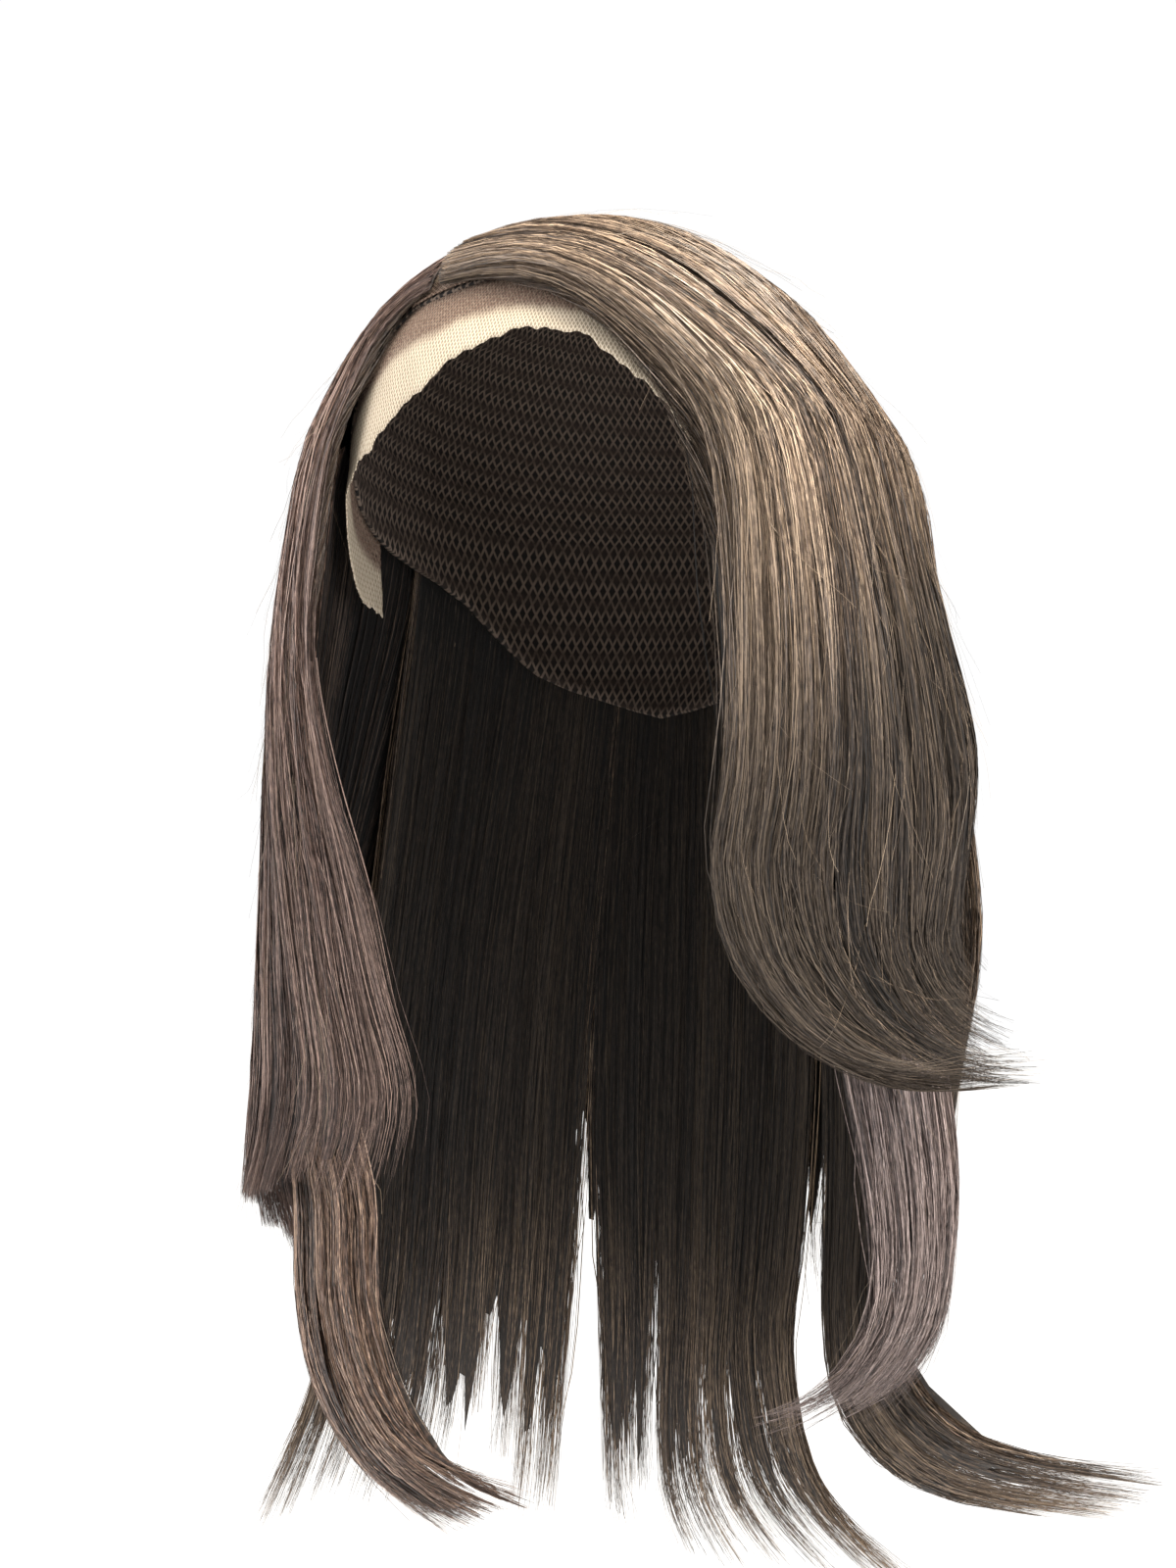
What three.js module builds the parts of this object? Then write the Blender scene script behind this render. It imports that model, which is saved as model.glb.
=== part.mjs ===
// A long, dark brown, layered wig with a lace front and a lace side parting, in the form it keeps when it
// is worn. The cap is a thin wall over the crown of a head, in two halves that are sewn together. The hair
// is a set of layers, each a wall of locks that is rooted on the cap, runs over the crown and hangs to its
// own length, where its ends turn out or in.
//
// Millimetres. +Z is up, -Y is the way the face looks and +X is the wearer's left. The origin is the
// highest point of the cap's inside, where the crown of the head bears. Azimuths are in degrees from the
// face towards the wearer's left: 0 is the face, 90 the left ear, 180 the nape and 270 the right ear.
import * as THREE from 'three';
import { mergeVertices } from 'three/addons/utils/BufferGeometryUtils.js';

// The head that the cap is cut for
const HEAD_HALF_WIDTH = 76;
const HEAD_HALF_LENGTH = 94;
const CROWN_HEIGHT = 82;
const NAPE_HEIGHT = 115;
const HEAD_SQUARENESS = 2.3;

// Walls and the clearances between pieces
const CAP_WALL = 1.2;
const LACE_WALL = 1.0;
const SEAT_GAP = 0.4;
const HAIR_SEAT_GAP = 0.6;
const HAIR_LACE_GAP = 0.9;
const LAYER_GAP = 1.3;
const SIDE_GAP = 0.8;

// The hair: its reach below the widest level of the head, and how thick each layer is at its fullest
const HAIR_DROP = 390;
const TOP_THICKNESS = 17;
const MIDDLE_THICKNESS = 9.5;
const UNDER_THICKNESS = 7.5;
const LOCK_WIDTH = 24;
const LOCK_GROOVE = 2.2;
const TIP_THICKNESS = 2.4;

// A lock: how much sooner it ends at its sides than in its middle, as a share of LOCK_WIDTH, and the most
// that a groove may take from a thin stretch, as a share of the thickness there
const LOCK_POINT = 0.55;
const GROOVE_SHARE = 0.4;

// A layer of hair: the share of its thickness at its root, the shares of its length over which it grows
// from there and thins to its ends, the share of its thickness at its two sides and the share of its width
// that this takes
const ROOT_THINNESS = 0.3;
const ROOT_SHARE = 0.14;
const END_SHARE = 0.28;
const SIDE_THINNESS = 0.45;
const SIDE_SHARE = 0.12;

// Where a layer begins to stand off the ones beside it, and over what stretch, as shares of HAIR_DROP
const FREE_DROP = 0.37;
const FREE_STRETCH = 0.3;

// The parting, and how far the hair beside the face is combed along the hairline before it falls, in
// radians, over what share of a layer's width
const PART_WIDTH = 3.6;
const PART_STRIP_WIDTH = 20;
const SWOOP_BULGE = 0.07;
const SWOOP_SHARE = 0.5;

// The share of a layer's width over which its face edge is seated on what is below, the level over which
// it is not, and the share of a layer's fullness that it has before the gap under the next one is whole
const TUCK_SHARE = 0.2;
const CROWN_LEVEL = 0.5;
const GAP_SHARE = 0.25;

// The lace strip: the pitch and depth of its hand-cut edge, and the shares of that depth from notch to
// notch
const CUT_PITCH = 9;
const CUT_DEPTH = 2;
const CUT_SHARES = [0.4, 0, 1, 0];

// Where the parting starts on the hairline and where it ends on the crown, as shares of the head's half
// sizes
const PART_FRONT = new THREE.Vector3(-0.31, -0.78, 0.54).normalize();
const PART_BACK = new THREE.Vector3(-0.24, 0.28, 0.93).normalize();

// The inside of the hanging hair below the head's widest level. drop is a share of HAIR_DROP, width a
// share of HEAD_HALF_WIDTH, length and back (how far the middle lies behind the head's own) shares of
// HEAD_HALF_LENGTH.
const CURTAIN = [
  { drop: 0.00, width: 1.00, length: 1.00, back: 0.00 },
  { drop: 0.10, width: 1.04, length: 0.98, back: 0.05 },
  { drop: 0.20, width: 1.12, length: 0.89, back: 0.15 },
  { drop: 0.30, width: 1.20, length: 0.79, back: 0.26 },
  { drop: 0.40, width: 1.26, length: 0.71, back: 0.34 },
  { drop: 0.55, width: 1.29, length: 0.68, back: 0.39 },
  { drop: 0.75, width: 1.26, length: 0.68, back: 0.42 },
  { drop: 1.20, width: 1.12, length: 0.66, back: 0.44 },
];

// How much of each layer's thickness is there. level is 1 on top of the head, 0 at its widest level, and
// below that minus a share of HAIR_DROP. under, middle and top are shares of the three layers'
// thicknesses.
const FULLNESS = [
  { level: 1.00, under: 0.00, middle: 0.00, top: 0.16 },
  { level: 0.80, under: 0.00, middle: 0.00, top: 0.26 },
  { level: 0.55, under: 0.00, middle: 0.00, top: 0.52 },
  { level: 0.33, under: 0.00, middle: 0.10, top: 0.76 },
  { level: 0.15, under: 0.00, middle: 0.35, top: 0.96 },
  { level: 0.05, under: 0.00, middle: 0.52, top: 1.03 },
  { level: 0.00, under: 0.14, middle: 0.60, top: 1.04 },
  { level: -0.10, under: 0.35, middle: 0.85, top: 1.08 },
  { level: -0.20, under: 0.80, middle: 1.00, top: 1.04 },
  { level: -0.30, under: 1.00, middle: 1.00, top: 1.02 },
  { level: -0.42, under: 1.00, middle: 1.00, top: 0.98 },
  { level: -0.60, under: 1.00, middle: 1.00, top: 0.70 },
  { level: -1.20, under: 1.00, middle: 1.00, top: 0.60 },
];

// How much of the top layer's thickness lies on each side: the hair is combed over to the wearer's left
const SIDE_FULLNESS = [
  { azimuth: 40, top: 1.25 },
  { azimuth: 105, top: 1.35 },
  { azimuth: 180, top: 1.05 },
  { azimuth: 250, top: 0.52 },
  { azimuth: 290, top: 0.34 },
];

// The cap's edge and the lace's cut edge, as angles from the top of the head (90 is its widest level)
const CAP_EDGE = [
  { azimuth: 0, polar: 52 },
  { azimuth: 30, polar: 60 },
  { azimuth: 45, polar: 74 },
  { azimuth: 60, polar: 89 },
  { azimuth: 75, polar: 97 },
  { azimuth: 95, polar: 100 },
  { azimuth: 115, polar: 102 },
  { azimuth: 145, polar: 117 },
  { azimuth: 180, polar: 124 },
];
const LACE_EDGE = [
  { azimuth: -84, polar: 112 },
  { azimuth: -68, polar: 110 },
  { azimuth: -51, polar: 96 },
  { azimuth: -35, polar: 92 },
  { azimuth: -20, polar: 83 },
  { azimuth: -8, polar: 74 },
  { azimuth: 6, polar: 69 },
  { azimuth: 20, polar: 70 },
  { azimuth: 36, polar: 81 },
  { azimuth: 46, polar: 91 },
  { azimuth: 62, polar: 104 },
  { azimuth: 84, polar: 110 },
];

// The layers of hair. from and to are azimuths at the widest level, and drawn those of the same two edges
// where the ends begin to turn. stack says which layer of thickness it is, and root the level of the cap
// that it starts at, or the parting. fall is where its ends begin to turn, as a share of HAIR_DROP below
// the widest level. turn is through how many degrees they turn, towards the azimuth heading, on an arc of
// radius, and tail what runs on straight, both shares of HAIR_DROP. flare stands it off its stack before
// the turn, as a share of its own thickness. tuck seats its face edge on what is below, as a share of
// MIDDLE_THICKNESS. tip is how many times TIP_THICKNESS its ends measure. Columns with two values hold for
// the edge at from and the edge at to.
const LAYERS = [
  { name: 'left_front_layer', from: 45, to: 106, drawn: [34, 106], stack: 'top', root: 'parting',
    fall: [0.33, 0.36], radius: [0.17, 0.08], turn: [110, 54], heading: [104, 112], tail: [0.0, 0.0],
    flare: [0, 0], tuck: 0.3, tip: 1 },
  { name: 'back_top_layer', from: 106, to: 250, drawn: [106, 250], stack: 'top', root: 'parting',
    fall: [0.57, 0.6], radius: [0.1, 0.1], turn: [14, 14], heading: [290, 430], tail: [0.04, 0.05],
    flare: [0, 0], tuck: 0, tip: 1 },
  { name: 'right_front_layer', from: 250, to: 317, drawn: [250, 335], stack: 'top', root: 'parting',
    fall: [0.55, 0.53], radius: [0.4, 0.3], turn: [24, 18], heading: [70, 290], tail: [0.0, 0.0],
    flare: [0.6, 0.8], tuck: 0.3, tip: 2.6 },
  { name: 'left_middle_layer', from: 52, to: 106, drawn: [62, 105], stack: 'middle', root: 0.06,
    fall: [0.66, 0.68], radius: [0.11, 0.1], turn: [74, 66], heading: [290, 285], tail: [0.03, 0.0],
    flare: [1.0, 1.2], tuck: 0, tip: 1 },
  { name: 'back_middle_layer', from: 106, to: 242, drawn: [107, 242], stack: 'middle', root: 0.06,
    fall: [0.66, 0.7], radius: [0.12, 0.12], turn: [18, 20], heading: [120, 250], tail: [0.02, 0.02],
    flare: [0, 0], tuck: 0, tip: 1 },
  { name: 'right_middle_layer', from: 242, to: 306, drawn: [290, 328], stack: 'middle', root: 0.06,
    fall: [0.65, 0.62], radius: [0.2, 0.2], turn: [86, 92], heading: [54, 52], tail: [0.12, 0.1],
    flare: [-0.9, -0.9], tuck: 0, tip: 1 },
  { name: 'left_back_layer', from: 106, to: 142, drawn: [109, 136], stack: 'under', root: 0,
    fall: [0.68, 0.74], radius: [0.15, 0.15], turn: [84, 84], heading: [112, 116], tail: [0.15, 0.13],
    flare: [0, 0], tuck: 0, tip: 1 },
  { name: 'back_lower_layer', from: 143, to: 196, drawn: [147, 190], stack: 'under', root: 0,
    fall: [0.76, 0.88], radius: [0.24, 0.2], turn: [62, 30], heading: [116, 150], tail: [0.04, 0.0],
    flare: [0, 0], tuck: 0, tip: 1 },
  { name: 'right_back_layer', from: 197, to: 254, drawn: [201, 262], stack: 'under', root: 0,
    fall: [0.86, 0.65], radius: [0.3, 0.5], turn: [20, 22], heading: [215, 262], tail: [0.0, 0.15],
    flare: [0, 0], tuck: 0, tip: 1 },
];

// The azimuths where the hair ends at the face on each side, and those between which it is rooted round
// the back end of the parting
const FIRST_AZIMUTH = Math.min(...LAYERS.map((layer) => layer.from));
const LAST_AZIMUTH = Math.max(...LAYERS.map((layer) => layer.to));
const WHORL_FROM = 118;
const WHORL_TO = 242;

// Fineness of the walls
const CAP_COLUMNS = 36;
const CAP_ROWS = 10;
const LACE_ROWS = 2;
const STRIP_ROWS = 12;
const STRIP_COLUMNS = 4;
const LAYER_ROWS = 15;
const POINTS_PER_LOCK = 3;

// The places that shape a strand: how many on the crown and at a plain root, the share of HAIR_DROP and
// the degrees of turn from one to the next, how close they crowd near the parting, and the shortest tail
// that gets one, in mm
const CROWN_STEPS = 7;
const ROOT_STEPS = 3;
const DROP_STEP = 0.09;
const TURN_STEP = 20;
const ROW_CROWDING = 1.25;
const SHORTEST_TAIL = 1;

// Corners nearer than this are one, in mm, and how far a table's corners are eased, from 0 to 1
const WELD = 1e-3;
const TABLE_EASE = 0.35;

const radians = (angle) => (angle * Math.PI) / 180;
const degrees = (angle) => (angle * 180) / Math.PI;
const mix = (a, b, share) => a + (b - a) * share;
const clamp = (x) => Math.min(1, Math.max(0, x));
const smooth = (x) => clamp(x) * clamp(x) * (3 - 2 * clamp(x));

// The value of one column of a table at a place between its rows
function column(table, key, value, at) {
  const rising = table[table.length - 1][key] > table[0][key];
  const sorted = rising ? table : [...table].reverse();
  const next = Math.max(1, sorted.findIndex((row, i) => i > 0 && row[key] >= at));
  const [low, high] = at >= sorted[sorted.length - 1][key]
    ? sorted.slice(-2)
    : [sorted[next - 1], sorted[next]];
  return mix(low[value], high[value], smoothStretch((at - low[key]) / (high[key] - low[key])));
}

// Eases between two rows a little, so that a table's corners don't show
function smoothStretch(share) {
  return mix(clamp(share), smooth(share), TABLE_EASE);
}

// A place on the head, for a direction as shares of its half sizes, standing off its surface
function headPoint(direction, offset) {
  const d = direction.clone().normalize();
  const heights = d.z < 0 ? NAPE_HEIGHT : CROWN_HEIGHT;
  const p = HEAD_SQUARENESS;
  const reach = (Math.abs(d.x) ** p + Math.abs(d.y) ** p + Math.abs(d.z) ** p) ** (-1 / p);
  const grade = (x) => Math.sign(x) * Math.abs(x) ** (p - 1);
  const normal = new THREE.Vector3(
    grade(d.x) / HEAD_HALF_WIDTH, grade(d.y) / HEAD_HALF_LENGTH, grade(d.z) / heights).normalize();
  return new THREE.Vector3(HEAD_HALF_WIDTH * d.x, HEAD_HALF_LENGTH * d.y, heights * d.z)
    .multiplyScalar(reach)
    .addScaledVector(normal, offset)
    .add(new THREE.Vector3(0, 0, -CROWN_HEIGHT));
}

// The direction of an azimuth and an angle from the top of the head
function towards(azimuth, polar) {
  const a = radians(azimuth);
  const b = radians(polar);
  return new THREE.Vector3(Math.sin(a) * Math.sin(b), -Math.cos(a) * Math.sin(b), Math.cos(b));
}

// A place on the hanging hair's inside, a share of HAIR_DROP below the widest level, standing off it
function curtainPoint(azimuth, drop, offset) {
  const d = towards(azimuth, 90);
  const p = HEAD_SQUARENESS;
  const reach = (Math.abs(d.x) ** p + Math.abs(d.y) ** p) ** (-1 / p);
  const width = column(CURTAIN, 'drop', 'width', drop) * HEAD_HALF_WIDTH + offset;
  const length = column(CURTAIN, 'drop', 'length', drop) * HEAD_HALF_LENGTH + offset;
  const back = column(CURTAIN, 'drop', 'back', drop) * HEAD_HALF_LENGTH;
  return new THREE.Vector3(
    width * reach * d.x, back + length * reach * d.y, -CROWN_HEIGHT - drop * HAIR_DROP);
}

// The point a share of the way from one direction to another along the round of the head
function sweep(start, end, share) {
  const angle = start.angleTo(end);
  return start.clone().multiplyScalar(Math.sin((1 - share) * angle) / Math.sin(angle))
    .addScaledVector(end, Math.sin(share * angle) / Math.sin(angle));
}

// The level that a height is at, in the terms of FULLNESS
function levelOf(z) {
  const above = z + CROWN_HEIGHT;
  return above > 0 ? Math.min(1, above / CROWN_HEIGHT) : above / HAIR_DROP;
}

const THICKNESSES = { under: UNDER_THICKNESS, middle: MIDDLE_THICKNESS, top: TOP_THICKNESS };
const STACK_ORDER = ['under', 'middle', 'top'];

// How far off the head or the curtain a layer's inside lies, and how thick it is, at a level and an azimuth
function stackOf(name, level, azimuth) {
  const onLace = CAP_WALL + SEAT_GAP + LACE_WALL + HAIR_LACE_GAP;
  let offset = mix(CAP_WALL + HAIR_SEAT_GAP, onLace, smooth(level / CROWN_LEVEL));
  for (const layer of STACK_ORDER) {
    const share = column(FULLNESS, 'level', layer, level);
    const side = layer === 'top' ? column(SIDE_FULLNESS, 'azimuth', 'top', azimuth) : 1;
    const thickness = share * side * THICKNESSES[layer];
    if (layer === name) return { inner: offset, thickness };
    offset += thickness + LAYER_GAP * smooth(share / GAP_SHARE);
  }
  throw new Error('no layer is named ' + name);
}

// Where the top layer's hair is rooted for an azimuth: along one side of the parting, round its end on the
// crown and back along its other side
function partingRoot(azimuth) {
  const along = azimuth <= WHORL_FROM
    ? (azimuth - FIRST_AZIMUTH) / (WHORL_FROM - FIRST_AZIMUTH)
    : azimuth >= WHORL_TO ? (LAST_AZIMUTH - azimuth) / (LAST_AZIMUTH - WHORL_TO) : 1;
  const spot = sweep(PART_FRONT, PART_BACK, clamp(along));
  const ahead = PART_BACK.clone().sub(PART_FRONT).normalize();
  const left = new THREE.Vector3().crossVectors(ahead, spot).normalize();
  const turned = azimuth <= WHORL_FROM ? 0
    : azimuth >= WHORL_TO ? 1 : (azimuth - WHORL_FROM) / (WHORL_TO - WHORL_FROM);
  const side = left.multiplyScalar(Math.cos(turned * Math.PI))
    .addScaledVector(ahead, Math.sin(turned * Math.PI));
  return spot.addScaledVector(side, PART_WIDTH / 2 / HEAD_HALF_WIDTH).normalize();
}

// The places that one strand on a layer's inside runs through, a share of the way across it, before it is
// smoothed
function strandPlaces(layer, across) {
  const azimuth = mix(layer.from, layer.to, across);
  const between = (pair) => mix(pair[0], pair[1], smooth(across));
  const fall = between(layer.fall);
  const fromFace = layer.tuck ? (layer.to === LAST_AZIMUTH ? 1 - across : across) : 1;
  const tuck = layer.tuck * MIDDLE_THICKNESS * (1 - smooth(fromFace / TUCK_SHARE));
  const seatOf = (z) => {
    const level = levelOf(z);
    return stackOf(layer.stack, level, azimuth).inner - tuck * smooth((CROWN_LEVEL - level) / CROWN_LEVEL);
  };
  const places = [];
  if (layer.root === 'parting') {
    const root = partingRoot(azimuth);
    const rim = towards(azimuth, 90);
    const face = 1 - smooth(fromFace / SWOOP_SHARE);
    for (let i = 0; i < CROWN_STEPS; i += 1) {
      const share = (i / CROWN_STEPS) ** ROW_CROWDING;
      const d = sweep(root, rim, share);
      d.z += SWOOP_BULGE * face * Math.sin(Math.PI * share);
      d.normalize();
      places.push(headPoint(d, seatOf(headPoint(d, 0).z)));
    }
  } else if (layer.root > 0) {
    for (let i = 0; i < ROOT_STEPS; i += 1) {
      const polar = mix(90 - degrees(Math.asin(layer.root)), 90, i / ROOT_STEPS);
      const d = towards(azimuth, polar);
      places.push(headPoint(d, seatOf(headPoint(d, 0).z)));
    }
  }
  const steps = Math.max(3, Math.round(fall / DROP_STEP));
  for (let i = 0; i <= steps; i += 1) {
    const drop = (fall * i) / steps;
    const free = smooth((drop - FREE_DROP) / FREE_STRETCH);
    const drawn = mix(azimuth, mix(layer.drawn[0], layer.drawn[1], across), (drop / fall) ** 2);
    const stack = stackOf(layer.stack, -drop, azimuth);
    places.push(curtainPoint(drawn, drop,
      seatOf(-CROWN_HEIGHT - drop * HAIR_DROP) + between(layer.flare) * stack.thickness * free));
  }
  const last = places[places.length - 1];
  const heading = towards(between(layer.heading), 90);
  const radius = between(layer.radius) * HAIR_DROP;
  const turn = radians(between(layer.turn));
  const arcSteps = Math.max(2, Math.round(between(layer.turn) / TURN_STEP));
  for (let i = 1; i <= arcSteps; i += 1) {
    const angle = (turn * i) / arcSteps;
    places.push(last.clone().addScaledVector(heading, radius * (1 - Math.cos(angle)))
      .add(new THREE.Vector3(0, 0, -radius * Math.sin(angle))));
  }
  const tail = between(layer.tail) * HAIR_DROP;
  if (tail > SHORTEST_TAIL) {
    const end = places[places.length - 1];
    places.push(end.clone().addScaledVector(heading, tail * Math.sin(turn))
      .add(new THREE.Vector3(0, 0, -tail * Math.cos(turn))));
  }
  return places;
}

// One closed body from the outer and the inner face of a wall, each a grid of points. Corners that fall
// together, as at the top of the cap, become one.
function wallGeometry(outer, inner) {
  const columns = outer.length;
  const rows = outer[0].length;
  const points = [...outer.flat(), ...inner.flat()];
  const at = (face, i, j) => face * columns * rows + i * rows + j;
  const faces = [];
  const quad = (a, b, c, d) => faces.push([a, b, c], [a, c, d]);
  const last = columns - 1;
  for (let i = 0; i < last; i += 1) {
    for (let j = 0; j < rows - 1; j += 1) {
      quad(at(0, i, j), at(0, i, j + 1), at(0, i + 1, j + 1), at(0, i + 1, j));
      quad(at(1, i, j), at(1, i + 1, j), at(1, i + 1, j + 1), at(1, i, j + 1));
    }
    quad(at(0, i, 0), at(0, i + 1, 0), at(1, i + 1, 0), at(1, i, 0));
    quad(at(0, i, rows - 1), at(1, i, rows - 1), at(1, i + 1, rows - 1), at(0, i + 1, rows - 1));
  }
  for (let j = 0; j < rows - 1; j += 1) {
    quad(at(0, 0, j), at(1, 0, j), at(1, 0, j + 1), at(0, 0, j + 1));
    quad(at(0, last, j), at(0, last, j + 1), at(1, last, j + 1), at(1, last, j));
  }
  const apart = faces.filter(([a, b, c]) => points[a].distanceTo(points[b]) > WELD
    && points[b].distanceTo(points[c]) > WELD && points[c].distanceTo(points[a]) > WELD);
  const geometry = new THREE.BufferGeometry();
  geometry.setAttribute('position',
    new THREE.Float32BufferAttribute(points.flatMap((point) => point.toArray()), 3));
  geometry.setIndex(apart.flat());
  const merged = mergeVertices(geometry, WELD);
  merged.computeVertexNormals();
  return merged;
}

// The angle from the top of the head of the cap's edge, straight from each of its corners to the next
function capEdge(azimuth) {
  const step = 360 / CAP_COLUMNS;
  const corner = Math.floor(Math.abs(azimuth) / step);
  const at = (i) => column(CAP_EDGE, 'azimuth', 'polar', Math.min(i * step, 360 - i * step));
  return mix(at(corner), at(corner + 1), Math.abs(azimuth) / step - corner);
}

// One half of the cap: a wall over the crown, from the lace strip at the brow to the nape, with its seam
// along the middle of the head. side is 1 for the wearer's left and -1 for the right.
function capHalfGeometry(side) {
  const face = (offset) => Array.from({ length: CAP_COLUMNS / 2 + 1 }, (unused, i) => {
    const azimuth = (side > 0 ? 0 : 180) + (360 * i) / CAP_COLUMNS;
    return Array.from({ length: CAP_ROWS + 1 }, (none, j) => {
      const place = headPoint(towards(azimuth, (capEdge(azimuth) * j) / CAP_ROWS), offset);
      return place.setX(side * Math.max(side * place.x, SEAT_GAP / 2));
    });
  });
  return wallGeometry(face(CAP_WALL), face(0));
}

// The lace strip from temple to temple, in front of the cap's edge, with its hand-cut edge
function laceFrontGeometry() {
  const first = LACE_EDGE[0].azimuth;
  const span = LACE_EDGE[LACE_EDGE.length - 1].azimuth - first;
  const columns = CUT_SHARES.length * Math.round((radians(span) * HEAD_HALF_WIDTH) / CUT_PITCH);
  const seam = degrees(SEAT_GAP / CROWN_HEIGHT);
  const cut = degrees(CUT_DEPTH / CROWN_HEIGHT);
  const face = (offset) => Array.from({ length: columns + 1 }, (unused, i) => {
    const azimuth = first + (span * i) / columns;
    const top = capEdge(azimuth) + seam;
    const bottom = column(LACE_EDGE, 'azimuth', 'polar', azimuth)
      - cut * CUT_SHARES[i % CUT_SHARES.length];
    return Array.from({ length: LACE_ROWS + 1 }, (none, j) =>
      headPoint(towards(azimuth, mix(top, bottom, j / LACE_ROWS)), offset));
  });
  return wallGeometry(face(LACE_WALL), face(0));
}

// The strip of lace along the parting, on the cap, from the hairline to the crown
function partStripGeometry() {
  const ahead = PART_BACK.clone().sub(PART_FRONT).normalize();
  const base = CAP_WALL + SEAT_GAP;
  const face = (offset) => Array.from({ length: STRIP_COLUMNS + 1 }, (unused, i) =>
    Array.from({ length: STRIP_ROWS + 1 }, (none, j) => {
      const spot = sweep(PART_FRONT, PART_BACK, j / STRIP_ROWS);
      const left = new THREE.Vector3().crossVectors(ahead, spot).normalize();
      const aside = (0.5 - i / STRIP_COLUMNS) * (PART_STRIP_WIDTH / HEAD_HALF_WIDTH);
      return headPoint(spot.addScaledVector(left, aside), offset);
    }));
  return wallGeometry(face(base + LACE_WALL), face(base));
}

// A layer of hair: strands side by side give its inside, and its thickness stands off that. Its outer face
// is grooved between its locks, and its ends come to a point at each lock.
function layerGeometry(layer) {
  const middle = strandPlaces(layer, 0.5);
  const spread = (layer.to - layer.from) / 360;
  const girth = 2 * Math.PI * (HEAD_HALF_WIDTH + HEAD_HALF_LENGTH) / 2 * spread;
  const locks = Math.max(2, Math.round(girth / LOCK_WIDTH));
  const columns = locks * POINTS_PER_LOCK;
  const length = middle.reduce((sum, place, i) => (i ? sum + place.distanceTo(middle[i - 1]) : 0), 0);
  const strands = Array.from({ length: columns + 1 }, (unused, i) => {
    const curve = new THREE.CatmullRomCurve3(strandPlaces(layer, i / columns), false, 'centripetal');
    const groove = Math.abs(Math.cos((Math.PI * i) / POINTS_PER_LOCK));
    const shorter = (groove * LOCK_WIDTH * LOCK_POINT) / length;
    return Array.from({ length: LAYER_ROWS + 1 }, (none, j) =>
      curve.getPointAt((j / LAYER_ROWS) ** ROW_CROWDING * (1 - shorter)));
  });
  for (const [edge, next] of [[0, 1], [columns, columns - 1]]) {
    strands[edge].forEach((place, j) => {
      const inwards = strands[next][j].clone().sub(place).normalize();
      place.addScaledVector(inwards, SIDE_GAP / 2);
    });
  }
  const outer = [];
  const inner = [];
  strands.forEach((strand, i) => {
    const groove = Math.abs(Math.cos((Math.PI * i) / POINTS_PER_LOCK)) ** 2;
    const edge = Math.min(i, columns - i) / columns;
    const rounding = mix(SIDE_THINNESS, 1, Math.sqrt(clamp(edge / SIDE_SHARE)));
    outer.push([]);
    inner.push([]);
    strand.forEach((place, j) => {
      const along = strand[Math.min(j + 1, LAYER_ROWS)].clone().sub(strand[Math.max(j - 1, 0)]);
      const aside = strands[Math.min(i + 1, columns)][j].clone().sub(strands[Math.max(i - 1, 0)][j]);
      const normal = new THREE.Vector3().crossVectors(along, aside).normalize();
      const share = (j / LAYER_ROWS) ** ROW_CROWDING;
      const azimuth = mix(layer.from, layer.to, i / columns);
      const full = stackOf(layer.stack, levelOf(place.z), azimuth).thickness;
      const tip = TIP_THICKNESS * layer.tip;
      const root = smooth(share / ROOT_SHARE);
      const end = smooth((1 - share) / END_SHARE);
      const thickness = Math.min(full, mix(tip, full, end)) * mix(ROOT_THINNESS, 1, root) * rounding;
      const cut = Math.min(LOCK_GROOVE, thickness * GROOVE_SHARE) * groove;
      outer[i].push(place.clone().addScaledVector(normal, thickness - cut));
      inner[i].push(place.clone());
    });
  });
  return wallGeometry(outer, inner);
}

const CAP_NET = new THREE.MeshStandardMaterial({ color: 0x1d1714, roughness: 0.9, metalness: 0 });
const LACE = new THREE.MeshStandardMaterial({ color: 0xe3d5bd, roughness: 0.85, metalness: 0 });
const HAIR = new THREE.MeshStandardMaterial({ color: 0x4a382d, roughness: 0.45, metalness: 0 });

const wig = new THREE.Group();

function add(name, geometry, material) {
  const mesh = new THREE.Mesh(geometry, material);
  mesh.name = name;
  wig.add(mesh);
}

add('cap_left', capHalfGeometry(1), CAP_NET);
add('cap_right', capHalfGeometry(-1), CAP_NET);
add('lace_front', laceFrontGeometry(), LACE);
add('part_strip', partStripGeometry(), LACE);
for (const layer of LAYERS) add(layer.name, layerGeometry(layer), HAIR);

export default wig;
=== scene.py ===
"""The looks of a long, dark brown, layered wig with a lace front and a lace side parting, in its worn form.

Sizes are in millimetres and angles in degrees, and meshes are made in metres. +Z is up, -Y is the way the
face looks and +X is the wearer's left. Azimuths run from the face towards the wearer's left: 90 is the left
ear, 180 the nape and 270 the right ear.
"""

import logging
import math
from collections.abc import Sequence
from dataclasses import dataclass, field
from enum import Enum
from typing import Any, NamedTuple

import bmesh
import bpy
import numpy as np
from mathutils import Matrix, Vector
from numpy.typing import NDArray

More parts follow.
